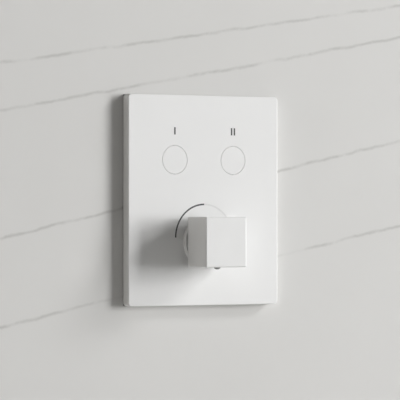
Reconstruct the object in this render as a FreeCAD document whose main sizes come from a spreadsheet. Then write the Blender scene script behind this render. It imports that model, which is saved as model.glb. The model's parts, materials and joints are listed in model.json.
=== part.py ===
# Thermostatic shower valve for two outlets. A white cover plate with two push buttons and a square
# temperature knob sits on the wall. The brass valve that it works stands behind it, inside the wall.
# Millimetres: +Z up, +X to the user's right, -Y towards the user.
# Origin: centre of the cover plate's back, on the finished wall surface (y = 0).
import FreeCAD, Part
import math
import os
import Sketcher
from FreeCAD import Placement, Rotation, Vector

# Each size is a number, or a formula of other sizes where pieces fit together.
DIMENSIONS = {
    # cover plate, seal and the carrier that the plate clips onto
    "plate_width": 174.0,
    "plate_height": 210.0,
    "plate_depth": 11.0,
    "plate_wall": 3.0,
    "plate_side_wall": 2.6,
    "plate_corner_radius": 3.8,
    "plate_edge_radius": 0.9,
    "seal_thickness": 0.8,
    "seal_width": 2.6,
    "seal_inset": 0.6,
    "carrier_gap": 0.9,
    "carrier_base": 2.5,
    "carrier_rim": 2.0,
    "carrier_corner_radius": 2.0,
    "rim_headroom": 0.8,
    "clip_thickness": 0.6,
    "clip_width": 12.0,
    "clip_length": 5.0,
    "clip_spacing": 100.0,
    "frame_hole_inset_across": 15.0,
    "frame_hole_inset_up": 13.0,
    "frame_hole_spacing_across": "=plate_width - 2 * frame_hole_inset_across",
    "frame_hole_spacing_up": "=plate_height - 2 * frame_hole_inset_up",
    "frame_hole_radius": 2.7,
    "carrier_screw_radius": 1.6,
    "carrier_screw_length": 10.0,
    "carrier_screw_head_radius": 3.4,
    "carrier_screw_head": 2.2,
    "carrier_screw_socket": 1.3,
    # push buttons
    "button_spacing": 67.8,
    "button_rise": 40.2,
    "button_radius": 14.2,
    "button_gap": 0.25,
    "button_wall": 2.4,
    "button_skirt_wall": 1.8,
    "button_length": 9.0,
    "button_edge": 0.3,
    "button_travel": 3.5,
    "button_boss_wall": 1.8,
    "button_boss_length": 4.6,
    "guide_wall": 1.7,
    "guide_tail": 2.0,
    "guide_flange": 1.5,
    "guide_flange_width": 2.6,
    "push_rod_radius": 4.2,
    "push_rod_clearance": 1.0,
    "push_rod_tail": "=mouth_depth - cartridge_head - button_travel - push_rod_clearance",
    # printed marks
    "print_thickness": 0.08,
    "numeral_height": 7.3,
    "numeral_stroke": 1.7,
    "numeral_pitch": 3.3,
    "numeral_rise": 28.8,
    "scale_radius": 33.0,
    "scale_stroke": 1.6,
    "scale_rise": 4.5,
    "scale_sweep": 90.0,
    # temperature knob and what turns with it
    "knob_drop": 41.6,
    "knob_width": 47.4,
    "knob_height": 49.8,
    "knob_depth": 35.6,
    "knob_standoff": 7.3,
    "knob_wall": 3.0,
    "knob_edge_radius": 1.5,
    "knob_boss_wall": 2.9,
    "knob_boss_length": 25.0,
    "insert_radius": 8.0,
    "insert_length": 20.0,
    "insert_web": 2.0,
    "insert_screw_radius": 1.6,
    "insert_screw_length": 9.0,
    "insert_screw_head_radius": 3.4,
    "insert_screw_head": 2.0,
    "grub_screw_radius": 2.0,
    "grub_screw_length": 4.0,
    "grub_screw_inset": 9.3,
    # safety button under the knob
    "safety_radius": 3.75,
    "safety_reach": 2.2,
    "safety_dome_radius": 3.3,
    "safety_inset": 17.9,
    "safety_travel": 2.2,
    "safety_flange_width": 1.3,
    "safety_flange": 1.8,
    "safety_post_radius": 3.2,
    "safety_coil_radius": 2.2,
    "safety_wire_radius": 0.25,
    "safety_spring_room": 5.0,
    "safety_post_length": "=knob_height / 2 - knob_wall - safety_flange - safety_spring_room"
                          " - insert_radius - knob_boss_wall - 2 * slip",
    "safety_pin_radius": 1.2,
    "safety_pin_length": 2.2,
    "safety_finger_width": 3.0,
    "safety_finger_height": 2.2,
    # neck collar and temperature stop ring
    "collar_radius": 24.5,
    "collar_depth": 5.0,
    "collar_edge": 0.6,
    "collar_wall": 2.5,
    "collar_sleeve_radius": 20.6,
    "collar_sleeve_wall": 2.4,
    "collar_sleeve_tail": 2.0,
    "stop_ring_clearance": 2.2,
    "stop_ring_radius": "=knob_width / 2 - knob_wall - stop_ring_clearance",
    "stop_ring_thickness": 2.0,
    "stop_rim_wall": 2.8,
    "stop_rim_length": 6.0,
    "knob_turn": 90.0,
    "stop_margin": 7.0,
    # brass valve body, measured back from the wall surface
    "mouth_depth": 14.0,
    "skirt_length": 10.0,
    "skirt_step": 1.6,
    "cartridge_skirt_step": 1.0,
    "housing_length": 36.0,
    "mixing_space": 13.0,
    "end_wall": 4.0,
    "thermostat_wall": 5.0,
    "button_chamber_wall": 4.0,
    "passage_radius": 6.0,
    "passage_wall": 4.0,
    "annulus_width": 9.0,
    "annulus_depth": 2.0,
    "port_length": 6.0,
    "inlet_reach": "=stop_axis_reach + stop_plug_radius + stop_gap + strainer_length + thread_length",
    "port_width": 4.5,
    "port_height": 10.0,
    "branch_radius": 13.0,
    "outlet_reach": 51.8,
    "thread_radius": 9.3,
    "thread_length": 15.0,
    "hex_flats": 29.0,
    "hex_chamfer": 0.5,
    "inlet_bore_radius": 8.6,
    "outlet_bore_radius": 7.0,
    "lug_radius": 6.0,
    "lug_gap": 7.0,
    "lower_lug_spacing": 44.0,
    "lower_lug_drop": 18.4,
    "lug_web": 7.0,
    # thermostat cartridge
    "housing_radius": 16.6,
    "thermostat_bore": "=housing_radius + loose + slip",
    "housing_web": 2.0,
    "window_length": 4.0,
    "window_width": 8.0,
    "sleeve_radius": 13.0,
    "sleeve_wall": 1.6,
    "sleeve_length": 10.0,
    "sleeve_travel": 1.8,
    "sleeve_web": 2.0,
    "sleeve_hole_radius": 2.0,
    "seat_lip": 2.0,
    "thermostat_flats": 34.0,
    "thermostat_head": 10.0,
    "thermostat_neck_radius": 8.7,
    "spindle_radius": 5.0,
    "spindle_cup_radius": 7.0,
    "spindle_cup_start": 2.0,
    "spindle_cup_length": 14.0,
    "spindle_bore_length": 18.0,
    "spline_radius": 0.5,
    "spline_length": 16.0,
    "pusher_radius": 4.0,
    "pusher_length": 16.0,
    "wax_radius": 6.5,
    "wax_length": 11.0,
    "wax_tail_radius": 3.0,
    "wax_tail_length": 5.5,
    "ring_section": 1.0,
    "ring_groove_depth": 1.7,
    "ring_groove_width": 2.6,
    "ring_margin": 3.0,
    "port_pitch": "=housing_length / 2 - ring_margin",
    "return_coil_radius": 9.0,
    "return_wire_radius": 0.75,
    # push-button cartridges
    "cartridge_bore_radius": 13.0,
    "cartridge_length": 32.0,
    "cartridge_wall": 3.4,
    "cartridge_front_web": 6.0,
    "cartridge_window": 9.8,
    "cartridge_guide_wall": 2.4,
    "cartridge_guide_length": 12.0,
    "cartridge_flats": 26.0,
    "cartridge_head": 5.5,
    "seat_web": 3.0,
    "seat_radius": 6.5,
    "pocket_radius": 9.5,
    "stem_radius": 3.0,
    "stem_front": 5.0,
    "stem_neck_radius": 2.0,
    "disc_radius": 8.5,
    "disc_thickness": 3.0,
    "disc_gap": 0.3,
    "stem_head_radius": 3.4,
    "stem_head": 1.2,
    "stem_tail_radius": 1.6,
    "stem_tail": 4.4,
    "valve_coil_radius": 6.0,
    "valve_wire_radius": 0.5,
    # check valves, strainers and service stops in the two inlets
    "check_start": "=thermostat_bore + annulus_depth + port_length",
    "check_length": 14.0,
    "check_ledge": 1.0,
    "check_wall": 1.7,
    "check_web": 2.0,
    "check_seat_radius": 4.6,
    "check_hole_radius": 1.5,
    "poppet_radius": 5.8,
    "poppet_thickness": 2.0,
    "poppet_stem_radius": 1.5,
    "poppet_travel": 3.0,
    "check_coil_radius": 3.2,
    "check_wire_radius": 0.25,
    "check_gap": 0.5,
    "stop_axis_reach": "=check_start + check_length + check_gap + stop_plug_radius",
    "stop_plug_radius": 7.5,
    "stop_boss_radius": 11.0,
    "stop_plug_front": 24.0,
    "stop_plug_length": 28.0,
    "stop_bore_radius": 5.2,
    "stop_slot_width": 1.6,
    "stop_slot_depth": 2.0,
    "stop_boss_front": 4.0,
    "stop_ring_inset": 4.0,
    "stop_groove_width": 1.6,
    "stop_gap": 1.0,
    "retaining_ring": 1.0,
    "strainer_length": 5.5,
    "strainer_cup_radius": 7.0,
    "strainer_flange": 1.0,
    "strainer_hole_radius": 0.7,
    "strainer_inner_circle": 2.4,
    "strainer_outer_circle": 4.8,
    # wall brackets behind the valve body
    "bracket_thickness": 2.5,
    "bracket_height": 26.0,
    "bracket_hole_spacing": 168.0,
    "bracket_end": 10.0,
    "bracket_corner_radius": 6.0,
    "wall_hole_radius": 3.25,
    "bracket_screw_radius": 2.0,
    "bracket_screw_length": 11.0,
    "bracket_screw_head_radius": 4.2,
    "bracket_screw_head": 2.2,
    "bracket_screw_socket": 1.5,
    # clearances
    "slip": 0.1,
    "running": 0.08,
    "loose": 0.3,
}

FUSED_BY = 1.0  # how far a piece runs into the one it is fused to, and a cutter past what it cuts
WIRE_GAP_LEAST = 0.4

document = FreeCAD.newDocument("ShowerValve")
sheet = document.addObject("Spreadsheet::Sheet", "Sizes")
subparts = []


class Size:
    """A length or an angle that carries its formula on the sheet as well as its value."""

    def __init__(self, value, formula=None):
        self.value = float(value)
        self.formula = formula or f"({self.value!r})"

    def combine(self, other, sign, value):
        return Size(value, f"({self.formula} {sign} {as_size(other).formula})")

    def __add__(self, other):
        return self.combine(other, "+", self.value + as_size(other).value)

    def __sub__(self, other):
        return self.combine(other, "-", self.value - as_size(other).value)

    def __mul__(self, other):
        return self.combine(other, "*", self.value * as_size(other).value)

    def __truediv__(self, other):
        return self.combine(other, "/", self.value / as_size(other).value)

    def __neg__(self):
        return Size(-self.value, f"(-{self.formula})")

    def __radd__(self, other):
        return as_size(other) + self

    def __rsub__(self, other):
        return as_size(other) - self

    def __rmul__(self, other):
        return as_size(other) * self


def as_size(length):
    return length if isinstance(length, Size) else Size(length)


class Dimensions:
    """Each cell of the sheet, by its alias."""

    def __getattr__(self, alias):
        return Size(sheet.get(alias), f"Sizes.{alias}")


size = Dimensions()


def fill_sheet():
    for row, alias in enumerate(DIMENSIONS, start=1):
        sheet.set(f"A{row}", alias)
        sheet.setAlias(f"B{row}", alias)
    for row, value in enumerate(DIMENSIONS.values(), start=1):
        sheet.set(f"B{row}", str(value))
    document.recompute()


# ---------------------------------------------------------------- building blocks

AXIS_TURN = {
    "X": Rotation(Vector(0, 1, 0), 90),
    "Y": Rotation(Vector(1, 0, 0), -90),
    "Z": Rotation(),
}


def bind(thing, name, length):
    thing.setExpression(name, as_size(length).formula)


def place(thing, at, axis="Z"):
    """Put an object at a point, with its own Z turned to the named axis."""
    thing.Placement = Placement(Vector(*[as_size(c).value for c in at]), AXIS_TURN[axis])
    for letter, coordinate in zip("xyz", at):
        bind(thing, f"Placement.Base.{letter}", coordinate)
    return thing


def rod(name, axis, radius, at, length):
    """A round bar that starts at a point and runs along the axis."""
    bar = document.addObject("Part::Cylinder", name)
    bind(bar, "Radius", radius)
    bind(bar, "Height", length)
    return place(bar, at, axis)


def block(name, low, high):
    box = document.addObject("Part::Box", name)
    for side, start, end in zip(("Length", "Width", "Height"), low, high):
        bind(box, side, end - start)
    return place(box, low)


def ring(name, axis, radius, section, at):
    torus = document.addObject("Part::Torus", name)
    bind(torus, "Radius1", radius)
    bind(torus, "Radius2", section)
    return place(torus, at, axis)


def hexagon(name, axis, flats, at, length):
    prism = document.addObject("Part::Prism", name)
    prism.Polygon = 6
    bind(prism, "Circumradius", flats / (2 * math.cos(math.radians(30))))
    bind(prism, "Height", length)
    return place(prism, at, axis)


def taper(name, axis, near, far, at, length):
    """A cone that starts at a point with the near radius and ends with the far one."""
    cone = document.addObject("Part::Cone", name)
    bind(cone, "Radius1", near)
    bind(cone, "Radius2", far)
    bind(cone, "Height", length)
    return place(cone, at, axis)


def chamfered_hexagon(name, axis, flats, at, length, at_far_end):
    """A hexagon with its corners turned off at 30 degrees at one end."""
    narrow = flats / 2 - size.hex_chamfer
    wide = narrow + length * math.sqrt(3)
    near, far = (wide, narrow) if at_far_end else (narrow, wide)
    common = document.addObject("Part::Common", name)
    common.Base = hexagon(f"{name}_prism", axis, flats, at, length)
    common.Tool = taper(f"{name}_chamfer", axis, near, far, at, length)
    return common


def fuse(name, pieces):
    union = document.addObject("Part::MultiFuse", name)
    union.Shapes = pieces
    return union


def cut(name, base, tools):
    difference = document.addObject("Part::Cut", name)
    difference.Base = base
    difference.Tool = tools[0] if len(tools) == 1 else fuse(name + "_cutters", tools)
    return difference


def keep(label, thing):
    """Name an object as one sub-part of the valve."""
    thing.Label = label
    subparts.append(thing)
    return thing


def group(label, solids):
    """Identical small pieces as one sub-part of separate solids."""
    compound = document.addObject("Part::Compound", label)
    compound.Links = solids
    return keep(label, compound)


def new_body(label, at):
    body = document.addObject("PartDesign::Body", label)
    return keep(label, place(body, at))


def sketch_on(body, plane, offset=0):
    """A sketch on one of the body's own planes, moved along that plane's normal by the offset."""
    sketch = body.newObject("Sketcher::SketchObject", f"{body.Name}_sketch")
    support = next(item for item in body.Origin.OriginFeatures if item.Role == plane)
    sketch.AttachmentSupport = (support, [""])
    sketch.MapMode = "FlatFace"
    bind(sketch, "AttachmentOffset.Base.z", offset)
    return sketch


def pin_point(sketch, curve, end, across, up):
    for kind, length in (("DistanceX", across), ("DistanceY", up)):
        length = as_size(length)
        number = sketch.addConstraint(Sketcher.Constraint(kind, -1, 1, curve, end, length.value))
        bind(sketch, f"Constraints[{number}]", length)


def draw_outline(sketch, corners):
    """A closed outline of straight lines, each corner tied to the sheet."""
    corners = [(as_size(across), as_size(up)) for across, up in corners]
    points = [Vector(across.value, up.value, 0) for across, up in corners]
    first = sketch.GeometryCount
    last = first + len(points) - 1
    for start, end in zip(points, points[1:] + points[:1]):
        sketch.addGeometry(Part.LineSegment(start, end))
    for line in range(first, last + 1):
        following = first if line == last else line + 1
        sketch.addConstraint(Sketcher.Constraint("Coincident", line, 2, following, 1))
    for line, (across, up) in enumerate(corners, start=first):
        pin_point(sketch, line, 1, across, up)


def draw_rectangle(sketch, low, high):
    draw_outline(sketch, [low, (high[0], low[1]), high, (low[0], high[1])])


def draw_circle(sketch, radius, across=0, up=0):
    centre = Vector(as_size(across).value, as_size(up).value, 0)
    circle = sketch.addGeometry(Part.Circle(centre, Vector(0, 0, 1), radius.value))
    number = sketch.addConstraint(Sketcher.Constraint("Radius", circle, radius.value))
    bind(sketch, f"Constraints[{number}]", radius)
    pin_point(sketch, circle, 3, across, up)


def add_feature(body, kind, sketch, **settings):
    feature = body.newObject(f"PartDesign::{kind}", f"{body.Name}_{kind.lower()}")
    feature.Profile = sketch
    for name, setting in settings.items():
        if isinstance(setting, Size):
            bind(feature, name, setting)
        else:
            setattr(feature, name, setting)
    return feature


def pad(body, sketch, length, **settings):
    return add_feature(body, "Pad", sketch, Length=length, **settings)


def pocket(body, sketch, length, **settings):
    return add_feature(body, "Pocket", sketch, Length=length, **settings)


def pocket_through(body, sketch, reach):
    """Cut both ways from the sketch, through everything within reach."""
    return add_feature(body, "Pocket", sketch, Length=reach * 2, SideType="Symmetric")


def repeat_round(body, feature, sketch_axis, count):
    pattern = body.newObject("PartDesign::PolarPattern", f"{body.Name}_pattern")
    pattern.Originals = [feature]
    pattern.Axis = sketch_axis
    pattern.Angle = 360
    pattern.Occurrences = count
    body.Tip = pattern
    return pattern


def round_edges(body, feature, radius, chosen):
    """Fillet the edges of the feature that the test picks out."""
    document.recompute()
    edges = [f"Edge{i}" for i, edge in enumerate(feature.Shape.Edges, start=1) if chosen(edge)]
    fillet = body.newObject("PartDesign::Fillet", f"{body.Name}_fillet")
    fillet.Base = (feature, edges)
    bind(fillet, "Radius", radius)
    return fillet


def runs_along(edge, axis):
    """Whether a straight edge lies along the axis."""
    if not isinstance(edge.Curve, Part.Line):
        return False
    return edge.tangentAt(edge.FirstParameter).cross(axis).Length < 1e-6


def lies_at(edge, axis, place_on_axis):
    """Whether the whole edge lies in the plane across the axis at that place."""
    along = [point.dot(axis) for point in edge.discretize(5)]
    return max(abs(value - place_on_axis.value) for value in along) < 1e-4


# The sketch plane that holds each turning axis: the sketch's own axis to turn about,
# and whether a corner is written as (radius, along) or as (along, radius).
TURNING = {
    "X": ("XY_Plane", "H_Axis", True),
    "Y": ("XY_Plane", "V_Axis", False),
    "Z": ("XZ_Plane", "V_Axis", False),
}


def turned(label, axis, at, corners):
    """A body turned about an axis through its placement; each corner is (radius, place along the axis)."""
    plane, turning_axis, swapped = TURNING[axis]
    body = new_body(label, at)
    sketch = sketch_on(body, plane)
    draw_outline(sketch, [(along, radius) if swapped else (radius, along) for radius, along in corners])
    add_feature(body, "Revolution", sketch, ReferenceAxis=(sketch, [turning_axis]), Angle=360)
    return body


def biarc(start, start_tangent, end, end_tangent):
    """Two arcs that leave one point and reach another along the given tangents."""
    chord = end - start
    tangents = start_tangent + end_tangent
    bend = 1 - start_tangent.dot(end_tangent)
    across = chord.dot(tangents)
    reach = (math.sqrt(across**2 + 2 * bend * chord.dot(chord)) - across) / (2 * bend)
    first_corner = start + start_tangent * reach
    second_corner = end - end_tangent * reach
    middle = (first_corner + second_corner) * 0.5
    return [round_corner(start, first_corner, middle), round_corner(middle, second_corner, end)]


def round_corner(start, corner, end):
    """The arc from start to end whose tangents meet at the corner."""
    half_turn = (corner - start).getAngle(end - corner) / 2
    centre_of_chord = (start + end) * 0.5
    crown = centre_of_chord + (corner - centre_of_chord) * (math.tan(half_turn / 2) / math.tan(half_turn))
    return Part.Arc(start, crown, end).toShape()


def coil_spring(label, axis, at, coil_radius, wire_radius, length, turns):
    """A round-wire compression spring that starts at a point and runs along the axis."""
    coil, wire, free_length = coil_radius.value, wire_radius.value, length.value
    climb = (free_length - 2 * wire) / (2 * math.pi * turns)
    slope = math.hypot(coil, climb)
    quarters = [quarter * math.pi / 2 for quarter in range(round(turns * 4) + 1)]
    points = [Vector(coil * math.cos(a), coil * math.sin(a), wire + climb * a) for a in quarters]
    tangents = [Vector(-coil * math.sin(a), coil * math.cos(a), climb) * (1 / slope) for a in quarters]
    arcs = []
    for number in range(len(points) - 1):
        arcs += biarc(points[number], tangents[number], points[number + 1], tangents[number + 1])
    section = Part.Wire(Part.Circle(points[0], tangents[0], wire).toShape())
    spring = document.addObject("Part::Feature", label)
    spring.Shape = Part.Wire(arcs).makePipeShell([section], True, False)
    place(spring, at, axis)
    samples = [point for arc in arcs for point in arc.discretize(7)[:-1]]
    half_turn_of_samples = len(samples) // round(turns * 2)
    gap = min(
        (samples[a] - samples[b]).Length
        for a in range(len(samples))
        for b in range(a + half_turn_of_samples, len(samples))
    ) - 2 * wire
    print(f"{label}: {turns} turns, least gap between turns {gap:.2f} mm")
    if gap < WIRE_GAP_LEAST:
        raise ValueError(f"{label}: its turns are too close together")
    return keep(label, spring)


# ---------------------------------------------------------------- places that several pieces share

def set_places():
    """Planes and axes named once, from the driving dimensions."""
    size.__dict__.update(
        plate_front=-size.plate_depth,
        plate_inside=size.plate_wall - size.plate_depth,
        plate_back=-size.seal_thickness,
        carrier_front=-size.carrier_base,
        carrier_half_width=size.plate_width / 2 - size.plate_side_wall - size.carrier_gap,
        carrier_half_height=size.plate_height / 2 - size.plate_side_wall - size.carrier_gap,
        button_x=size.button_spacing / 2,
        button_z=size.button_rise,
        knob_z=-size.knob_drop,
        knob_back=-(size.plate_depth + size.knob_standoff),
        mouth=size.mouth_depth,
        skirt_end=size.mouth_depth + size.skirt_length,
        supply_y=size.mouth_depth + size.skirt_length + size.housing_length / 2,
        housing_end=size.mouth_depth + size.skirt_length + size.housing_length,
    )
    size.__dict__.update(
        rim_front=size.plate_inside + size.rim_headroom,
        knob_front=size.knob_back - size.knob_depth,
        collar_front=size.plate_front - size.collar_depth,
        chamber_end=size.housing_end + size.mixing_space,
        passage_y=size.housing_end + size.mixing_space / 2,
        seat_front=size.skirt_end + size.cartridge_length,
        upper_lug_x=size.button_x + size.cartridge_bore_radius + size.button_chamber_wall + size.lug_gap,
        lower_lug_x=size.lower_lug_spacing / 2,
        lower_lug_z=size.knob_z - size.lower_lug_drop,
    )
    size.__dict__.update(
        body_back=size.chamber_end + size.end_wall,
        stop_ring_front=size.collar_front - size.stop_ring_thickness,
        safety_y=size.knob_back - size.safety_inset,
        seat_back=size.seat_front + size.seat_web,
        thermostat_radius=size.thermostat_bore + size.thermostat_wall,
        thread_start=size.inlet_reach - size.thread_length,
    )
    size.__dict__.update(
        disc_front=size.seat_back + size.disc_gap,
        strainer_start=size.thread_start - size.strainer_length,
    )


def lug_axes():
    """X and Z of the four cast lugs that carry the carrier in front and the brackets behind."""
    return {
        "upper_left": (-size.upper_lug_x, size.button_z),
        "upper_right": (size.upper_lug_x, size.button_z),
        "lower_left": (-size.lower_lug_x, size.lower_lug_z),
        "lower_right": (size.lower_lug_x, size.lower_lug_z),
    }


# ---------------------------------------------------------------- in front of the wall

def make_cover_plate():
    body = new_body("cover_plate", (0, 0, 0))
    half_width, half_height = size.plate_width / 2, size.plate_height / 2
    sketch = sketch_on(body, "XZ_Plane", size.seal_thickness)
    draw_rectangle(sketch, (-half_width, -half_height), (half_width, half_height))
    slab = pad(body, sketch, size.plate_depth - size.seal_thickness)
    inward = Vector(0, 1, 0)
    corners = round_edges(body, slab, size.plate_corner_radius, lambda edge: runs_along(edge, inward))
    round_edges(body, corners, size.plate_edge_radius, lambda edge: lies_at(edge, inward, size.plate_front))
    inner_width, inner_height = half_width - size.plate_side_wall, half_height - size.plate_side_wall
    sketch = sketch_on(body, "XZ_Plane", size.seal_thickness)
    draw_rectangle(sketch, (-inner_width, -inner_height), (inner_width, inner_height))
    pocket(body, sketch, size.plate_depth - size.seal_thickness - size.plate_wall, Reversed=True)
    sketch = sketch_on(body, "XZ_Plane", size.plate_depth)
    for side in (-1, 1):
        draw_circle(sketch, size.button_radius + size.button_gap, size.button_x * side, size.button_z)
    draw_circle(sketch, size.collar_sleeve_radius + size.loose, 0, size.knob_z)
    pocket(body, sketch, size.plate_wall)


def make_plate_seal():
    body = new_body("plate_seal", (0, 0, 0))
    sketch = sketch_on(body, "XZ_Plane")
    for inset in (size.seal_inset, size.seal_inset + size.seal_width):
        half_width, half_height = size.plate_width / 2 - inset, size.plate_height / 2 - inset
        draw_rectangle(sketch, (-half_width, -half_height), (half_width, half_height))
    pad(body, sketch, size.seal_thickness)


def make_carrier():
    """The plastic frame on the wall: a flat base with the holes, and a rim for the clips."""
    body = new_body("carrier_frame", (0, 0, 0))
    half_width, half_height = size.carrier_half_width, size.carrier_half_height
    sketch = sketch_on(body, "XZ_Plane")
    draw_rectangle(sketch, (-half_width, -half_height), (half_width, half_height))
    solid = pad(body, sketch, -size.rim_front)
    round_edges(body, solid, size.carrier_corner_radius, lambda edge: runs_along(edge, Vector(0, 1, 0)))
    sketch = sketch_on(body, "XZ_Plane", -size.rim_front)
    inner_width, inner_height = half_width - size.carrier_rim, half_height - size.carrier_rim
    draw_rectangle(sketch, (-inner_width, -inner_height), (inner_width, inner_height))
    pocket(body, sketch, size.carrier_front - size.rim_front)
    sketch = sketch_on(body, "XZ_Plane", size.carrier_base)
    draw_circle(sketch, size.collar_sleeve_radius + size.loose, 0, size.knob_z)
    for side in (-1, 1):
        draw_circle(sketch, guide_radius() + size.slip, size.button_x * side, size.button_z)
        draw_circle(sketch, size.stop_boss_radius, size.stop_axis_reach * side, size.knob_z)
        for level in (-1, 1):
            across, up = size.frame_hole_spacing_across / 2 * side, size.frame_hole_spacing_up / 2 * level
            draw_circle(sketch, size.frame_hole_radius, across, up)
    for across, up in lug_axes().values():
        draw_circle(sketch, size.carrier_screw_radius + size.loose, across, up)
    pocket(body, sketch, size.carrier_base)


def make_carrier_screws():
    screws = []
    for name, (across, up) in lug_axes().items():
        shank = rod(f"{name}_shank", "Y", size.carrier_screw_radius,
                    (across, size.carrier_front, up), size.carrier_base + size.carrier_screw_length)
        head_front = size.carrier_front - size.carrier_screw_head
        head = rod(f"{name}_head", "Y", size.carrier_screw_head_radius, (across, head_front, up),
                   size.carrier_screw_head)
        socket = hexagon(f"{name}_socket", "Y", size.carrier_screw_head_radius,
                         (across, head_front, up), size.carrier_screw_socket)
        screws.append(cut(f"{name}_screw", fuse(f"{name}_blank", [shank, head]), [socket]))
    group("carrier_screws", screws)


def make_cover_clips():
    """Four spring clips over the carrier's rim, which grip the inside of the cover plate."""
    clips = []
    front = size.rim_front - size.slip - size.clip_thickness
    inner = size.carrier_half_height - size.carrier_rim - size.slip
    outer = size.carrier_half_height + size.slip
    for side in (-1, 1):
        for level in (-1, 1):
            left = size.clip_spacing / 2 * side - size.clip_width / 2
            right = left + size.clip_width
            legs = []
            for leg, height in (("inner", inner - size.clip_thickness), ("outer", outer)):
                low = height if level > 0 else -(height + size.clip_thickness)
                legs.append(block(f"clip_{leg}_leg", (left, front, low),
                                  (right, front + size.clip_length, low + size.clip_thickness)))
            low = inner - size.clip_thickness if level > 0 else -(outer + size.clip_thickness)
            high = low + (outer - inner) + size.clip_thickness * 2
            bridge = block("clip_bridge", (left, front, low), (right, front + size.clip_thickness, high))
            clips.append(fuse("clip", legs + [bridge]))
    group("cover_clips", clips)


def guide_radius():
    return size.button_radius + size.running + size.guide_wall


def make_button(side, name):
    """One push button: cap, guide, rod, and its cartridge in the valve body."""
    at = (size.button_x * side, 0, size.button_z)
    front, inside = size.plate_front, size.plate_front + size.button_wall
    radius, skirt = size.button_radius, size.button_radius - size.button_skirt_wall
    rod_hole = size.push_rod_radius + size.slip
    boss, boss_end = rod_hole + size.button_boss_wall, inside + size.button_boss_length
    turned(f"{name}_button_cap", "Y", at, [
        (0, front), (radius - size.button_edge, front), (radius, front + size.button_edge),
        (radius, front + size.button_length), (skirt, front + size.button_length), (skirt, inside),
        (boss, inside), (boss, boss_end), (rod_hole, boss_end), (rod_hole, inside), (0, inside),
    ])
    bore, outer = size.button_radius + size.running, guide_radius()
    flange = outer + size.guide_flange_width
    flange_front = size.carrier_front - size.guide_flange
    turned(f"{name}_button_guide", "Y", at, [
        (bore, size.rim_front), (outer, size.rim_front), (outer, flange_front), (flange, flange_front),
        (flange, size.carrier_front), (outer, size.carrier_front), (outer, size.guide_tail),
        (bore, size.guide_tail),
    ])
    stem_front = size.push_rod_tail - size.stem_front
    socket = size.stem_radius + size.slip
    turned(f"{name}_push_rod", "Y", at, [
        (0, inside), (size.push_rod_radius, inside), (size.push_rod_radius, size.push_rod_tail),
        (socket, size.push_rod_tail), (socket, stem_front), (0, stem_front),
    ])
    disc_back = size.disc_front + size.disc_thickness
    head_front = disc_back + size.slip
    head_back = head_front + size.stem_head
    turned(f"{name}_valve_stem", "Y", at, [
        (0, stem_front), (size.stem_radius, stem_front), (size.stem_radius, size.disc_front - size.slip),
        (size.stem_neck_radius, size.disc_front - size.slip), (size.stem_neck_radius, head_front),
        (size.stem_head_radius, head_front), (size.stem_head_radius, head_back),
        (size.stem_tail_radius, head_back), (size.stem_tail_radius, head_back + size.stem_tail),
        (0, head_back + size.stem_tail),
    ])
    disc_bore = size.stem_neck_radius + size.slip
    turned(f"{name}_valve_disc", "Y", at, [
        (disc_bore, size.disc_front), (size.disc_radius, size.disc_front), (size.disc_radius, disc_back),
        (disc_bore, disc_back),
    ])
    spring_front = disc_back + size.slip
    coil_spring(f"{name}_valve_spring", "Y", (at[0], spring_front, at[2]), size.valve_coil_radius,
                size.valve_wire_radius, size.chamber_end - size.slip - spring_front, 4)
    make_push_cartridge(name, at)


def make_push_cartridge(name, at):
    """The fixed housing round the stem, with four water windows, and the nut that holds it."""
    start, end = size.skirt_end, size.seat_front
    outer = size.cartridge_bore_radius - size.slip
    inner = outer - size.cartridge_wall
    bore = size.stem_radius + size.running
    guide = bore + size.cartridge_guide_wall
    web_end, guide_end = start + size.cartridge_front_web, start + size.cartridge_guide_length
    groove_middle, half_groove = start + size.cartridge_front_web / 2, size.ring_groove_width / 2
    groove_front, groove_back = groove_middle - half_groove, groove_middle + half_groove
    groove = outer - size.ring_groove_depth
    body = turned(f"{name}_push_cartridge", "Y", at, [
        (bore, start), (outer, start), (outer, groove_front), (groove, groove_front),
        (groove, groove_back), (outer, groove_back), (outer, end), (inner, end), (inner, web_end),
        (guide, web_end), (guide, guide_end), (bore, guide_end),
    ])
    half_window = size.cartridge_window / 2
    window_front, window_back = size.supply_y - half_window, size.supply_y + half_window
    for plane, low, high in (
        ("XY_Plane", (-half_window, window_front), (half_window, window_back)),
        ("YZ_Plane", (window_front, -half_window), (window_back, half_window)),
    ):
        sketch = sketch_on(body, plane)
        draw_rectangle(sketch, low, high)
        pocket_through(body, sketch, outer)
    head_front = size.mouth - size.cartridge_head
    head = chamfered_hexagon(f"{name}_nut_head", "Y", size.cartridge_flats, (at[0], head_front, at[2]),
                             size.cartridge_head, at_far_end=False)
    skirt = rod(f"{name}_nut_skirt", "Y", cartridge_skirt_radius(), (at[0], head_front, at[2]),
                size.cartridge_head + size.skirt_length)
    hole = rod(f"{name}_nut_hole", "Y", size.stem_radius + size.loose, (at[0], head_front, at[2]),
               size.cartridge_head + size.skirt_length)
    keep(f"{name}_cartridge_nut", cut(f"{name}_nut", fuse(f"{name}_nut_blank", [head, skirt]), [hole]))


def cartridge_skirt_radius():
    return size.cartridge_bore_radius + size.cartridge_skirt_step


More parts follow.
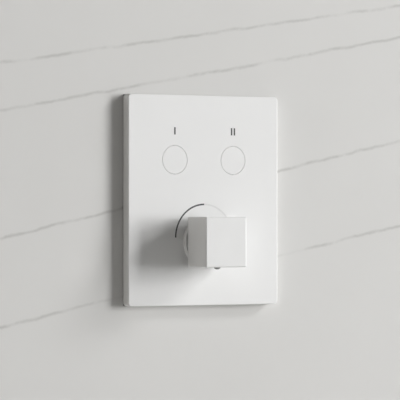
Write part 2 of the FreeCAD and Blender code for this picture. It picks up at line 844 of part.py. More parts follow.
def make_marks():
    """Printed numerals over the buttons and the two halves of the temperature scale."""
    face, printed = size.plate_front - size.print_thickness, size.plate_front
    middle = size.button_z + size.numeral_rise
    low, high = middle - size.numeral_height / 2, middle + size.numeral_height / 2
    half_stroke, half_pitch = size.numeral_stroke / 2, size.numeral_pitch / 2
    strokes = {}
    for name, centres in (
        ("numeral_one", [-size.button_x]),
        ("numeral_two", [size.button_x - half_pitch, size.button_x + half_pitch]),
    ):
        strokes[name] = [block(f"{name}_stroke", (centre - half_stroke, face, low),
                               (centre + half_stroke, printed, high)) for centre in centres]
    keep("numeral_one", strokes["numeral_one"][0])
    group("numeral_two", strokes["numeral_two"])
    inner, outer = size.scale_radius - size.scale_stroke / 2, size.scale_radius + size.scale_stroke / 2
    for name, leftward in (("hot_scale", True), ("cold_scale", False)):
        body = new_body(name, (0, 0, size.knob_z + size.scale_rise))
        sketch = sketch_on(body, "YZ_Plane")
        draw_rectangle(sketch, (face, inner), (printed, outer))
        add_feature(body, "Revolution", sketch, ReferenceAxis=(sketch, ["H_Axis"]),
                    Angle=size.scale_sweep, Reversed=leftward)


def make_collar():
    outer, sleeve = size.collar_radius, size.collar_sleeve_radius
    hole = size.thermostat_neck_radius + size.loose
    inner = sleeve - size.collar_sleeve_wall
    front, wall_back = size.collar_front, size.collar_front + size.collar_wall
    turned("knob_collar", "Y", (0, 0, size.knob_z), [
        (hole, front), (outer - size.collar_edge, front), (outer, front + size.collar_edge),
        (outer, size.plate_front), (sleeve, size.plate_front), (sleeve, size.collar_sleeve_tail),
        (inner, size.collar_sleeve_tail), (inner, wall_back), (hole, wall_back),
    ])


def make_stop_ring():
    """A ring on the cartridge's neck whose rim ends the knob's turn at both sides."""
    front, outer = size.stop_ring_front, size.stop_ring_radius
    hole = size.thermostat_neck_radius + size.loose
    body = turned("temperature_stop_ring", "Y", (0, 0, size.knob_z), [
        (hole, front), (outer, front), (outer, size.collar_front), (hole, size.collar_front),
    ])
    sketch = sketch_on(body, "YZ_Plane")
    draw_rectangle(sketch, (front - size.stop_rim_length, outer - size.stop_rim_wall),
                   (size.collar_front, outer))
    sweep = 360 - 2 * (size.knob_turn + size.stop_margin)
    add_feature(body, "Revolution", sketch, ReferenceAxis=(sketch, ["H_Axis"]), Angle=sweep, Midplane=True)


def make_knob():
    """The hollow square knob, open at the back, with a boss for its insert."""
    body = new_body("thermostat_knob", (0, 0, size.knob_z))
    half_width, half_height = size.knob_width / 2, size.knob_height / 2
    sketch = sketch_on(body, "XZ_Plane", -size.knob_back)
    draw_rectangle(sketch, (-half_width, -half_height), (half_width, half_height))
    cube = pad(body, sketch, size.knob_depth)
    round_edges(body, cube, size.knob_edge_radius, lambda edge: True)
    sketch = sketch_on(body, "XZ_Plane", -size.knob_back)
    inner_width, inner_height = half_width - size.knob_wall, half_height - size.knob_wall
    draw_rectangle(sketch, (-inner_width, -inner_height), (inner_width, inner_height))
    pocket(body, sketch, size.knob_depth - size.knob_wall, Reversed=True)
    inside = size.knob_front + size.knob_wall
    bore = size.insert_radius + size.slip
    sketch = sketch_on(body, "XZ_Plane", FUSED_BY - inside)
    draw_circle(sketch, bore + size.knob_boss_wall)
    pad(body, sketch, size.knob_boss_length + FUSED_BY, Reversed=True)
    sketch = sketch_on(body, "XZ_Plane", -inside)
    draw_circle(sketch, bore)
    pocket(body, sketch, size.knob_boss_length)
    sketch = sketch_on(body, "XY_Plane", -half_height)
    draw_circle(sketch, size.safety_radius + size.button_gap, 0, size.safety_y)
    pocket(body, sketch, size.knob_wall, Reversed=True)
    sketch = sketch_on(body, "XY_Plane", -half_height)
    draw_circle(sketch, size.grub_screw_radius + size.slip, 0, grub_screw_y())
    pocket(body, sketch, half_height - size.insert_radius, Reversed=True)


def grub_screw_y():
    return size.knob_front + size.grub_screw_inset


def insert_front():
    return size.knob_front + size.knob_wall + size.insert_screw_head + size.loose


def make_knob_fixings():
    """The insert between knob and spindle, the screw along its axis and the grub screw from below."""
    at = (0, 0, size.knob_z)
    front = insert_front()
    web_back, back = front + size.insert_web, front + size.insert_length
    hole, bore = size.insert_screw_radius + size.slip, size.spindle_radius + size.slip
    turned("knob_insert", "Y", at, [
        (hole, front), (size.insert_radius, front), (size.insert_radius, back), (bore, back),
        (bore, web_back), (hole, web_back),
    ])
    head_front = front - size.insert_screw_head
    head_back, tip = front, front + size.insert_screw_length
    turned("insert_screw", "Y", at, [
        (0, head_front), (size.insert_screw_head_radius, head_front),
        (size.insert_screw_head_radius, head_back), (size.insert_screw_radius, head_back),
        (size.insert_screw_radius, tip), (0, tip),
    ])
    top = size.knob_z - size.insert_radius - size.slip
    screw = rod("grub_screw_blank", "Z", size.grub_screw_radius,
                (0, grub_screw_y(), top - size.grub_screw_length), size.grub_screw_length)
    socket = hexagon("grub_screw_socket", "Z", size.grub_screw_radius,
                     (0, grub_screw_y(), top - size.grub_screw_length), size.grub_screw_length / 2)
    keep("grub_screw", cut("grub_screw", screw, [socket]))


def make_safety_button():
    """The domed button under the knob, its finger that meets the stop ring, and its spring."""
    at = (0, size.safety_y, size.knob_z)
    under_knob = -size.knob_height / 2
    inside = under_knob + size.knob_wall
    bottom = under_knob - size.safety_reach
    flange_low = inside + size.slip
    flange_high = flange_low + size.safety_flange
    flange = size.safety_radius + size.safety_flange_width
    post_top = flange_high + size.safety_post_length
    pin_top = post_top + size.safety_pin_length
    body = turned("safety_button", "Z", at, [
        (0, bottom), (size.safety_radius, bottom), (size.safety_radius, flange_low), (flange, flange_low),
        (flange, flange_high), (size.safety_post_radius, flange_high), (size.safety_post_radius, post_top),
        (size.safety_pin_radius, post_top), (size.safety_pin_radius, pin_top), (0, pin_top),
    ])
    finger_tip = size.stop_ring_front - size.loose * 2
    sketch = sketch_on(body, "XZ_Plane")
    half_finger = size.safety_finger_width / 2
    draw_rectangle(sketch, (-half_finger, post_top - size.safety_finger_height), (half_finger, post_top))
    finger = pad(body, sketch, finger_tip - size.safety_y, Reversed=True)
    round_edges(body, finger, size.safety_dome_radius, lambda edge: lies_at(edge, Vector(0, 0, 1), bottom))
    coil_spring("safety_button_spring", "Z", (0, size.safety_y, size.knob_z + post_top + size.slip),
                size.safety_coil_radius, size.safety_wire_radius, size.safety_spring_room - size.slip * 2, 3)


# ---------------------------------------------------------------- behind the wall

def make_valve_body():
    """The brass casting: thermostat chamber, inlets, riser, cross passage, button chambers and outlets."""
    solids, cutters = [], []
    length = size.body_back - size.mouth
    inlet_z = size.knob_z
    solids.append(rod("thermostat_chamber", "Y", size.thermostat_radius, (0, size.mouth, inlet_z), length))
    solids.append(rod("inlet_bar", "X", size.branch_radius, (-size.inlet_reach, size.supply_y, inlet_z),
                      size.inlet_reach * 2))
    outer_passage = size.passage_radius + size.passage_wall
    rise = size.button_z - size.knob_z
    solids.append(rod("riser", "Z", outer_passage, (0, size.passage_y, inlet_z), rise))
    cutters.append(rod("riser_bore", "Z", size.passage_radius, (0, size.passage_y, inlet_z), rise))
    cross_start = (-size.button_x, size.passage_y, size.button_z)
    solids.append(rod("cross", "X", outer_passage, cross_start, size.button_spacing))
    cutters.append(rod("cross_bore", "X", size.passage_radius, cross_start, size.button_spacing))
    mouth_radius = size.thermostat_bore + size.skirt_step
    front = size.mouth - FUSED_BY
    cutters.append(rod("thermostat_mouth", "Y", mouth_radius, (0, front, inlet_z),
                       size.skirt_length + FUSED_BY))
    cutters.append(rod("thermostat_bore", "Y", size.thermostat_bore, (0, front, inlet_z),
                       size.chamber_end - front))
    for name, middle in (("hot", hot_port_y()), ("cold", cold_port_y())):
        cutters.append(rod(f"{name}_annulus", "Y", size.thermostat_bore + size.annulus_depth,
                           (0, middle - size.annulus_width / 2, inlet_z), size.annulus_width))
    for side in (-1, 1):
        chamber_solids, chamber_cutters = button_chamber(side)
        inlet_solids, inlet_cutters = inlet_branch(side)
        solids += chamber_solids + inlet_solids
        cutters += chamber_cutters + inlet_cutters
    lug_solids, lug_cutters = mounting_lugs()
    keep("valve_body", cut("valve_body", fuse("casting", solids + lug_solids), cutters + lug_cutters))


def hot_port_y():
    return size.supply_y - size.port_pitch / 2


def cold_port_y():
    return size.supply_y + size.port_pitch / 2


def button_chamber(side):
    across, up = size.button_x * side, size.button_z
    front = size.mouth - FUSED_BY
    outlet_top = up + size.outlet_reach
    hex_low = outlet_top - size.thread_length
    bore = size.cartridge_bore_radius
    solids = [
        rod("button_chamber", "Y", bore + size.button_chamber_wall, (across, size.mouth, up),
            size.body_back - size.mouth),
        rod("outlet", "Z", size.branch_radius, (across, size.supply_y, up), size.outlet_reach),
        chamfered_hexagon("outlet_hex", "Z", size.hex_flats, (across, size.supply_y, hex_low),
                          size.thread_length - FUSED_BY, at_far_end=True),
    ]
    cutters = [
        rod("chamber_mouth", "Y", cartridge_skirt_radius() + size.slip, (across, front, up),
            size.skirt_length + FUSED_BY),
        rod("chamber_bore", "Y", bore, (across, front, up), size.seat_front - front),
        rod("seat_hole", "Y", size.seat_radius, (across, front, up), size.seat_back + FUSED_BY - front),
        rod("rear_pocket", "Y", size.pocket_radius, (across, size.seat_back, up),
            size.chamber_end - size.seat_back),
        rod("outlet_bore", "Z", size.outlet_bore_radius, (across, size.supply_y, up), size.outlet_reach),
        rod("outlet_mouth", "Z", size.thread_radius, (across, size.supply_y, hex_low),
            size.thread_length + FUSED_BY),
    ]
    return solids, cutters


def inlet_branch(side):
    """One inlet: pipe thread, strainer seat, service stop bore, check valve seat and port."""
    up, supply = size.knob_z, size.supply_y

    def bore(name, radius, inner, outer):
        start = inner if side > 0 else -outer
        return rod(name, "X", radius, (start, supply, up), outer - inner)

    bore_end = size.thermostat_bore + size.annulus_depth + FUSED_BY
    port_y = cold_port_y() if side > 0 else hot_port_y()
    port_inner, port_outer = size.thermostat_bore, bore_end + FUSED_BY
    port_low = port_inner if side > 0 else -port_outer
    port_high = port_outer if side > 0 else -port_inner
    half_height, half_width = size.port_height / 2, size.port_width / 2
    across = size.stop_axis_reach * side
    boss_front = size.stop_plug_front - size.stop_boss_front
    hex_start = size.thread_start if side > 0 else -(size.inlet_reach - FUSED_BY)
    ring_front, ring_back = retaining_ring_ends()
    solids = [
        rod("stop_boss", "Y", size.stop_boss_radius, (across, boss_front, up), supply - boss_front),
        chamfered_hexagon("inlet_hex", "X", size.hex_flats, (hex_start, supply, up),
                          size.thread_length - FUSED_BY, at_far_end=side > 0),
    ]
    cutters = [
        bore("port_bore", size.inlet_bore_radius - size.check_ledge, bore_end, size.check_start),
        bore("inlet_bore", size.inlet_bore_radius, size.check_start, size.inlet_reach),
        bore("inlet_mouth", size.thread_radius, size.thread_start, size.inlet_reach + FUSED_BY),
        block("port", (port_low, port_y - half_width, up - half_height),
              (port_high, port_y + half_width, up + half_height)),
        rod("stop_bore", "Y", size.stop_plug_radius + size.running, (across, boss_front - FUSED_BY, up),
            size.stop_plug_length + size.stop_boss_front + FUSED_BY + size.loose),
        rod("ring_groove", "Y", size.stop_plug_radius + size.retaining_ring,
            (across, ring_front - size.slip, up), ring_back - ring_front + size.slip * 2),
    ]
    return solids, cutters


def retaining_ring_ends():
    back = size.stop_plug_front - size.loose
    return back - size.retaining_ring, back


def mounting_lugs():
    """Four columns from the wall surface to the back, drilled at both ends, with webs to the chambers."""
    solids, cutters = [], []
    for name, (across, up) in lug_axes().items():
        solids.append(rod(f"{name}_lug", "Y", size.lug_radius, (across, 0, up), size.body_back))
        cutters.append(rod(f"{name}_front_hole", "Y", size.carrier_screw_radius + size.slip,
                           (across, 0, up), size.carrier_screw_length + FUSED_BY))
        depth = size.bracket_screw_length + FUSED_BY
        cutters.append(rod(f"{name}_rear_hole", "Y", size.bracket_screw_radius + size.slip,
                           (across, size.body_back - depth, up), depth))
    front, back, half_web = size.skirt_end, size.housing_end, size.lug_web / 2
    low, high = size.lower_lug_z - half_web, size.lower_lug_z + half_web
    solids.append(block("lower_web", (-size.lower_lug_x, front, low), (size.lower_lug_x, back, high)))
    low, high = size.button_z - half_web, size.button_z + half_web
    chamber_edge = size.button_x + size.cartridge_bore_radius + size.button_chamber_wall / 2
    solids.append(block("right_web", (chamber_edge, front, low), (size.upper_lug_x, back, high)))
    solids.append(block("left_web", (-size.upper_lug_x, front, low), (-chamber_edge, back, high)))
    return solids, cutters


def ring_places():
    """Y of the three O-rings that part hot, cold and mixed water along the thermostat housing."""
    return [size.supply_y - size.port_pitch, size.supply_y, size.supply_y + size.port_pitch]


def make_thermostat_housing():
    start, end = size.skirt_end, size.housing_end
    outer, inner = size.housing_radius, size.sleeve_radius + size.running
    lip = inner - size.seat_lip
    half_groove = size.ring_groove_width / 2
    sleeve_front, sleeve_back = sleeve_ends()
    hot_seat = sleeve_front - size.sleeve_travel - size.slip
    cold_seat = sleeve_back + size.sleeve_travel + size.slip
    outside = [(outer, start)]
    for middle in ring_places():
        groove = outer - size.ring_groove_depth
        outside += [(outer, middle - half_groove), (groove, middle - half_groove),
                    (groove, middle + half_groove), (outer, middle + half_groove)]
    outside.append((outer, end))
    spindle_hole = size.spindle_cup_radius + size.loose
    tail_hole = size.spindle_cup_radius + size.slip * 2
    inside = [
        (tail_hole, end), (tail_hole, end - size.housing_web), (inner, end - size.housing_web),
        (inner, cold_seat + size.seat_lip), (lip, cold_seat + size.seat_lip), (lip, cold_seat),
        (inner, cold_seat), (inner, hot_seat), (lip, hot_seat), (lip, hot_seat - size.seat_lip),
        (inner, hot_seat - size.seat_lip), (inner, start + size.housing_web),
        (spindle_hole, start + size.housing_web), (spindle_hole, start),
    ]
    body = turned("thermostat_housing", "Y", (0, 0, size.knob_z), outside + inside)
    half_width = size.window_width / 2
    for low in (hot_seat, cold_seat - size.window_length):
        sketch = sketch_on(body, "XY_Plane")
        draw_rectangle(sketch, (-half_width, low), (half_width, low + size.window_length))
        windows = pocket_through(body, sketch, outer)
        repeat_round(body, windows, (sketch, ["V_Axis"]), 3)


def sleeve_ends():
    return size.supply_y - size.sleeve_length / 2, size.supply_y + size.sleeve_length / 2


def make_thermostat_nut():
    at_z = size.knob_z
    head_front = size.mouth - size.thermostat_head
    neck_front = size.stop_ring_front
    skirt_radius = size.thermostat_bore + size.skirt_step - size.slip
    head = chamfered_hexagon("thermostat_nut_head", "Y", size.thermostat_flats, (0, head_front, at_z),
                             size.thermostat_head, at_far_end=False)
    skirt = rod("thermostat_nut_skirt", "Y", skirt_radius, (0, size.mouth - FUSED_BY, at_z),
                size.skirt_length + FUSED_BY)
    neck = rod("thermostat_nut_neck", "Y", size.thermostat_neck_radius, (0, neck_front, at_z),
               head_front - neck_front + FUSED_BY)
    bearing = rod("thermostat_nut_bearing", "Y", size.spindle_radius + size.running,
                  (0, neck_front, at_z), size.skirt_end - neck_front)
    cup_front = size.mouth + size.spindle_cup_start - size.slip
    cup = rod("thermostat_nut_cup", "Y", size.spindle_cup_radius + size.loose, (0, cup_front, at_z),
              size.skirt_end - cup_front)
    ring_room = rod("thermostat_nut_ring_groove", "Y",
                    size.spindle_radius + size.ring_section * 2 + size.slip * 2,
                    (0, spindle_ring_y() - size.ring_groove_width / 2, at_z), size.ring_groove_width)
    blank = fuse("thermostat_nut_blank", [head, skirt, neck])
    keep("thermostat_nut", cut("thermostat_nut", blank, [bearing, cup, ring_room]))


def spindle_ring_y():
    return size.mouth - size.thermostat_head / 2


def make_spindle():
    at = (0, 0, size.knob_z)
    front = insert_front() + size.insert_web + size.slip
    cup_front = size.mouth + size.spindle_cup_start
    cup_back = cup_front + size.spindle_cup_length
    bore = size.pusher_radius + size.slip
    bore_front = cup_back - size.spindle_bore_length
    tap, tap_end = size.insert_screw_radius + size.slip, front + size.insert_screw_length
    edge = size.spline_radius
    body = turned("thermostat_spindle", "Y", at, [
        (tap, front), (size.spindle_radius - edge, front), (size.spindle_radius, front + edge),
        (size.spindle_radius, cup_front), (size.spindle_cup_radius, cup_front),
        (size.spindle_cup_radius, cup_back), (bore, cup_back), (bore, bore_front), (0, bore_front),
        (0, tap_end), (tap, tap_end),
    ])
    sketch = sketch_on(body, "XZ_Plane", -front)
    draw_circle(sketch, size.spline_radius, size.spindle_radius, 0)
    spline = pocket(body, sketch, size.spline_length)
    document.recompute()
    y_axis = next(item for item in body.Origin.OriginFeatures if item.Role == "Y_Axis")
    repeat_round(body, spline, (y_axis, [""]), 12)


def make_mixer():
    """What the knob's thread moves along the axis: pusher, wax element and regulating sleeve."""
    at = (0, 0, size.knob_z)
    sleeve_front, sleeve_back = sleeve_ends()
    web_front = size.supply_y - size.sleeve_web / 2
    web_back = web_front + size.sleeve_web
    neck_front = sleeve_front - size.housing_web / 2
    neck = size.pusher_radius
    turned("thermostat_pusher", "Y", at, [
        (0, neck_front - size.pusher_length), (size.pusher_radius, neck_front - size.pusher_length),
        (size.pusher_radius, neck_front), (0, neck_front),
    ])
    wax_back = web_back + size.wax_length
    turned("wax_element", "Y", at, [
        (0, neck_front), (neck, neck_front), (neck, web_back), (size.wax_radius, web_back),
        (size.wax_radius, wax_back), (size.wax_tail_radius, wax_back),
        (size.wax_tail_radius, wax_back + size.wax_tail_length), (0, wax_back + size.wax_tail_length),
    ])
    outer, inner, hub = size.sleeve_radius, size.sleeve_radius - size.sleeve_wall, neck + size.slip
    body = turned("regulating_sleeve", "Y", at, [
        (outer, sleeve_front), (outer, sleeve_back), (inner, sleeve_back), (inner, web_back),
        (hub, web_back), (hub, web_front), (inner, web_front), (inner, sleeve_front),
    ])
    sketch = sketch_on(body, "XZ_Plane", -web_front)
    draw_circle(sketch, size.sleeve_hole_radius, (inner + hub) / 2, 0)
    port = pocket(body, sketch, size.sleeve_web)
    document.recompute()
    y_axis = next(item for item in body.Origin.OriginFeatures if item.Role == "Y_Axis")
    repeat_round(body, port, (y_axis, [""]), 6)
    spring_front = web_back + size.slip
    coil_spring("return_spring", "Y", (0, spring_front, size.knob_z), size.return_coil_radius,
                size.return_wire_radius, size.housing_end - size.housing_web - size.slip - spring_front, 5)


def make_rings():
    """O-rings of the thermostat, of the two push cartridges and of the two service stops."""
    at_z = size.knob_z
    section = size.ring_section
    middle = (size.housing_radius - size.ring_groove_depth + size.thermostat_bore) / 2
    rings = [ring("housing_ring", "Y", middle, section, (0, place_y, at_z)) for place_y in ring_places()]
    rings.append(ring("spindle_ring", "Y", size.spindle_radius + section + size.slip, section,
                      (0, spindle_ring_y(), at_z)))
    group("thermostat_o_rings", rings)
    groove_y = size.skirt_end + size.cartridge_front_web / 2
    cartridge_middle = size.cartridge_bore_radius - size.slip / 2 - size.ring_groove_depth / 2
    cartridge_section = size.ring_groove_depth / 2 - size.slip / 2
    group("cartridge_o_rings", [ring("cartridge_ring", "Y", cartridge_middle, cartridge_section,
                                     (size.button_x * side, groove_y, size.button_z)) for side in (-1, 1)])
    stop_section = stop_groove_depth() / 2
    group("stop_o_rings", [ring("stop_ring", "Y", size.stop_plug_radius - stop_section, stop_section,
                                (size.stop_axis_reach * side, stop_ring_y(), at_z)) for side in (-1, 1)])


def stop_groove_depth():
    return size.ring_section + size.slip


def stop_ring_y():
    return size.stop_plug_front + size.stop_ring_inset


def make_inlet_pieces(side, name):
    """Check valve, strainer and service stop of one inlet, from the chamber outwards."""
    at = (0, size.supply_y, size.knob_z)

    def along(corners):
        return [(radius, place_x * side) for radius, place_x in corners]

    start, end = size.check_start, size.check_start + size.check_length
    outer = size.inlet_bore_radius - size.slip
    inner = outer - size.check_wall
    web_end, seat_start = start + size.check_web, end - size.check_web
    guide = size.poppet_stem_radius + size.running
    cage = turned(f"{name}_check_cage", "X", at, along([
        (guide, start), (outer, start), (outer, end), (size.check_seat_radius, end),
        (size.check_seat_radius, seat_start), (inner, seat_start), (inner, web_end), (guide, web_end),
    ]))
    sketch = sketch_on(cage, "YZ_Plane", start * side)
    draw_circle(sketch, size.check_hole_radius, (guide + inner) / 2, 0)
    port = pocket(cage, sketch, size.check_web, Reversed=side > 0)
    document.recompute()
    x_axis = next(item for item in cage.Origin.OriginFeatures if item.Role == "X_Axis")
    repeat_round(cage, port, (x_axis, [""]), 5)
    disc_end = seat_start - size.slip * 2
    disc_start = disc_end - size.poppet_thickness
    turned(f"{name}_check_poppet", "X", at, along([
        (0, start), (size.poppet_stem_radius, start), (size.poppet_stem_radius, disc_start),
        (size.poppet_radius, disc_start), (size.poppet_radius, disc_end), (0, disc_end),
    ]))
    spring_low = web_end + size.slip if side > 0 else -(disc_start - size.slip)
    coil_spring(f"{name}_check_spring", "X", (spring_low, size.supply_y, size.knob_z), size.check_coil_radius,
                size.check_wire_radius, disc_start - web_end - size.slip * 2, 5)
    make_strainer(name, at, along, outer, side)
    make_service_stop(name, side)


def make_strainer(name, at, along, outer, side):
    start, end = size.strainer_start, size.thread_start
    cup = size.strainer_cup_radius
    flange_start = end - size.strainer_flange
    inner = cup - size.strainer_flange
    body = turned(f"{name}_inlet_strainer", "X", at, along([
        (0, start), (cup, start), (cup, flange_start), (outer, flange_start), (outer, end),
        (inner, end), (inner, start + size.strainer_flange), (0, start + size.strainer_flange),
    ]))
    document.recompute()
    x_axis = next(item for item in body.Origin.OriginFeatures if item.Role == "X_Axis")
    for circle_radius, count in ((size.strainer_inner_circle, 6), (size.strainer_outer_circle, 12)):
        sketch = sketch_on(body, "YZ_Plane", start * side)
        draw_circle(sketch, size.strainer_hole_radius, circle_radius, 0)
        hole = pocket(body, sketch, size.strainer_flange, Reversed=side > 0)
        repeat_round(body, hole, (x_axis, [""]), count)


def make_service_stop(name, side):
    """The slotted plug that shuts one inlet with a quarter turn."""
    radius, groove = size.stop_plug_radius, size.stop_plug_radius - stop_groove_depth() - size.slip
    front, back = size.stop_plug_front, size.stop_plug_front + size.stop_plug_length
    half_groove = size.stop_groove_width / 2
    middle = stop_ring_y()
    body = turned(f"{name}_service_stop", "Y", (size.stop_axis_reach * side, 0, size.knob_z), [
        (0, front), (radius, front), (radius, middle - half_groove), (groove, middle - half_groove),
        (groove, middle + half_groove), (radius, middle + half_groove), (radius, back), (0, back),
    ])
    sketch = sketch_on(body, "YZ_Plane")
    draw_circle(sketch, size.stop_bore_radius, size.supply_y, 0)
    pocket_through(body, sketch, radius + FUSED_BY)
    sketch = sketch_on(body, "XZ_Plane", -front)
    half_slot = size.stop_slot_width / 2
    draw_rectangle(sketch, (-radius, -half_slot), (radius, half_slot))
    pocket(body, sketch, size.stop_slot_depth)


def make_retaining_rings():
    rings = []
    front, back = retaining_ring_ends()
    for side in (-1, 1):
        at = (size.stop_axis_reach * side, front, size.knob_z)
        outer_radius = size.stop_plug_radius + size.retaining_ring - size.slip
        inner_radius = size.stop_plug_radius - size.retaining_ring * 2
        outer = rod("retaining_ring_outer", "Y", outer_radius, at, back - front)
        inner = rod("retaining_ring_inner", "Y", inner_radius, at, back - front)
        half_gap = size.retaining_ring
        low = (at[0] - half_gap, front, at[2] - size.stop_boss_radius)
        high = (at[0] + half_gap, back, at[2])
        rings.append(cut("retaining_ring", outer, [inner, block("retaining_ring_gap", low, high)]))
    group("retaining_rings", rings)


def make_brackets():
    """Two flat steel straps across the back of the valve body, with holes for the wall bolts."""
    thickness = size.bracket_thickness
    back = size.body_back + thickness
    head_front = back - size.bracket_screw_head
    screws = []
    for level, lug_x, height in (("upper", size.upper_lug_x, size.button_z),
                                 ("lower", size.lower_lug_x, size.lower_lug_z)):
        strap = document.addObject("PartDesign::Body", f"{level}_strap")
        place(strap, (0, back, height))
        sketch = sketch_on(strap, "XZ_Plane")
        half_length = size.bracket_hole_spacing / 2 + size.bracket_end
        half_height = size.bracket_height / 2
        draw_rectangle(sketch, (-half_length, -half_height), (half_length, half_height))
        for side in (-1, 1):
            draw_circle(sketch, size.wall_hole_radius, size.bracket_hole_spacing / 2 * side, 0)
        flat = pad(strap, sketch, thickness)
        round_edges(strap, flat, size.bracket_corner_radius, lambda edge: runs_along(edge, Vector(0, 1, 0)))
        seats = []
        for side in (-1, 1):
            across = lug_x * side
            narrow, wide = size.bracket_screw_radius, size.bracket_screw_head_radius
            seats.append(taper("countersink", "Y", narrow + size.slip, wide + size.slip,
                               (across, head_front, height), size.bracket_screw_head))
            seats.append(rod("screw_clearance", "Y", narrow + size.slip, (across, size.body_back, height),
                             thickness))
            head = taper("bracket_screw_head", "Y", narrow, wide, (across, head_front, height),
                         size.bracket_screw_head)
            tip = size.body_back - size.bracket_screw_length
            shank = rod("bracket_screw_shank", "Y", narrow, (across, tip, height), head_front - tip)
            socket_front = back - size.bracket_screw_socket
            socket = hexagon("bracket_screw_socket", "Y", wide, (across, socket_front, height),
                             size.bracket_screw_socket)
            screws.append(cut("bracket_screw", fuse("bracket_screw_blank", [head, shank]), [socket]))
        keep(f"{level}_wall_bracket", cut(f"{level}_wall_bracket", strap, seats))
    group("bracket_screws", screws)


# ---------------------------------------------------------------- the whole valve

def build():
    fill_sheet()
    set_places()
    make_cover_plate()
    make_plate_seal()
    make_carrier()
    make_carrier_screws()
    make_cover_clips()
    make_button(-1, "left")
    make_button(1, "right")
    make_marks()
    make_collar()
    make_stop_ring()
    make_knob()
    make_knob_fixings()
    make_safety_button()
    make_valve_body()
    make_thermostat_housing()
    make_thermostat_nut()
    make_spindle()
    make_mixer()
    make_rings()
    make_inlet_pieces(-1, "hot")
    make_inlet_pieces(1, "cold")
    make_retaining_rings()
    make_brackets()
    document.recompute()


def check():
    """Stop if any object failed to build, or a sub-part has no sound solid."""
    for thing in document.Objects:
        if "Invalid" in thing.State or "Error" in thing.State:
            raise ValueError(f"{thing.Label} failed to build: {thing.State}")
    for subpart in subparts:
        if subpart.Shape.isNull() or not subpart.Shape.isValid() or not subpart.Shape.Solids:
            raise ValueError(f"{subpart.Label} has no sound solid")


def export():
    os.makedirs("parts", exist_ok=True)
    for subpart in subparts:
        subpart.Shape.exportStep(f"parts/{subpart.Label}.step")
        print(f"{subpart.Label}: {len(subpart.Shape.Solids)} solid(s), {subpart.Shape.Volume:.1f} mm3")


build()
check()
export()
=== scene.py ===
"""Looks of a thermostatic shower valve: white trim on a wall, and the brass valve behind it.

Every length is in metres. +X is the user's right and +Z is up. The face of the wall is at y = 0, and the user
stands on its -Y side.
"""

import bmesh
import bpy
import json
import math
from bpy.props import FloatProperty, FloatVectorProperty, IntProperty, PointerProperty
from mathutils import Matrix, Vector


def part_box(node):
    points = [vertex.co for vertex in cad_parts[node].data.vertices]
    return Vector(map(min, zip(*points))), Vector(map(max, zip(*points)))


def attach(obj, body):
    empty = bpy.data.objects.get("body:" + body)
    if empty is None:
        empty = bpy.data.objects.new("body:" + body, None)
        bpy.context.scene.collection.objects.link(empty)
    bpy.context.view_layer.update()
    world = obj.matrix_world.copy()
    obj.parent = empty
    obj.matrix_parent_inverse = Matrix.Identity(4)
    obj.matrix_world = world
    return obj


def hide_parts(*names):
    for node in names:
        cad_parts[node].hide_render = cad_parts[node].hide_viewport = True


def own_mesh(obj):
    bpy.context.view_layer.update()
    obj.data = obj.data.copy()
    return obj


bl_info = {
    "name": "Thermostatic shower valve",
    "version": (1, 0, 0),
    "blender": (4, 5, 0),
    "location": "3D View > Sidebar > Shower Valve",
    "description": "Finishes, pipe threads, wall and light for a thermostatic shower valve",
    "category": "Object",
}

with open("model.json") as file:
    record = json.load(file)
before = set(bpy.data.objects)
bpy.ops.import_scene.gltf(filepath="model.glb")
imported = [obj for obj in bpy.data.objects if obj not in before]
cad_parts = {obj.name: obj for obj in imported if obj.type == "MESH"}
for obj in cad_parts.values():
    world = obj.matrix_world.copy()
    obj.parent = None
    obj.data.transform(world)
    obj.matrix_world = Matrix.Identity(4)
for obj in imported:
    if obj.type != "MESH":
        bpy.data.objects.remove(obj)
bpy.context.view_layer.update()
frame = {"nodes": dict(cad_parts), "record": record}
NODES = frame["nodes"]

COATED = ("cover_plate", "thermostat_knob", "knob_collar", "left_button_cap", "right_button_cap")
DARK_MARKS = ("numeral_one", "numeral_two", "hot_scale")
PALE_MARKS = ("cold_scale",)
GREY_MOULDINGS = (
    "carrier_frame",
    "left_button_guide",
    "right_button_guide",
    "temperature_stop_ring",
    "knob_insert",
)
SAFETY_MOULDINGS = ("safety_button",)
VALVE_MOULDINGS = (
    "hot_check_cage",
    "cold_check_cage",
    "hot_check_poppet",
    "cold_check_poppet",
    "left_push_rod",
    "right_push_rod",
)
RUBBERS = (
    "plate_seal",
    "thermostat_o_rings",
    "cartridge_o_rings",
    "stop_o_rings",
    "left_valve_disc",
    "right_valve_disc",
)
CASTINGS = ("valve_body",)
TURNED_ALONG_Y = (
    "thermostat_nut",
    "thermostat_spindle",
    "thermostat_housing",
    "thermostat_pusher",
    "wax_element",
    "left_push_cartridge",
    "right_push_cartridge",
    "left_cartridge_nut",
    "right_cartridge_nut",
    "hot_service_stop",
    "cold_service_stop",
)
STAINLESS = (
    "carrier_screws",
    "cover_clips",
    "insert_screw",
    "grub_screw",
    "safety_button_spring",
    "return_spring",
    "regulating_sleeve",
    "left_valve_spring",
    "right_valve_spring",
    "left_valve_stem",
    "right_valve_stem",
    "hot_check_spring",
    "cold_check_spring",
    "hot_inlet_strainer",
    "cold_inlet_strainer",
    "retaining_rings",
)
ZINC_PLATED = ("upper_wall_bracket", "lower_wall_bracket", "bracket_screws")

# Each spring that a moving piece presses: its body, that piece's joint, and the way towards its fixed end.
SPRINGS = {
    "left_valve_spring": ("valve", "left_button_press", (0, 1, 0)),
    "right_valve_spring": ("valve", "right_button_press", (0, 1, 0)),
    "hot_check_spring": ("valve", "hot_check_open", (1, 0, 0)),
    "cold_check_spring": ("valve", "cold_check_open", (-1, 0, 0)),
    "return_spring": ("valve", "mixer_shift", (0, 1, 0)),
    "safety_button_spring": ("knob", "safety_press", (0, 0, 1)),
}

PORTS = ("hot_inlet", "cold_inlet", "left_outlet", "right_outlet")

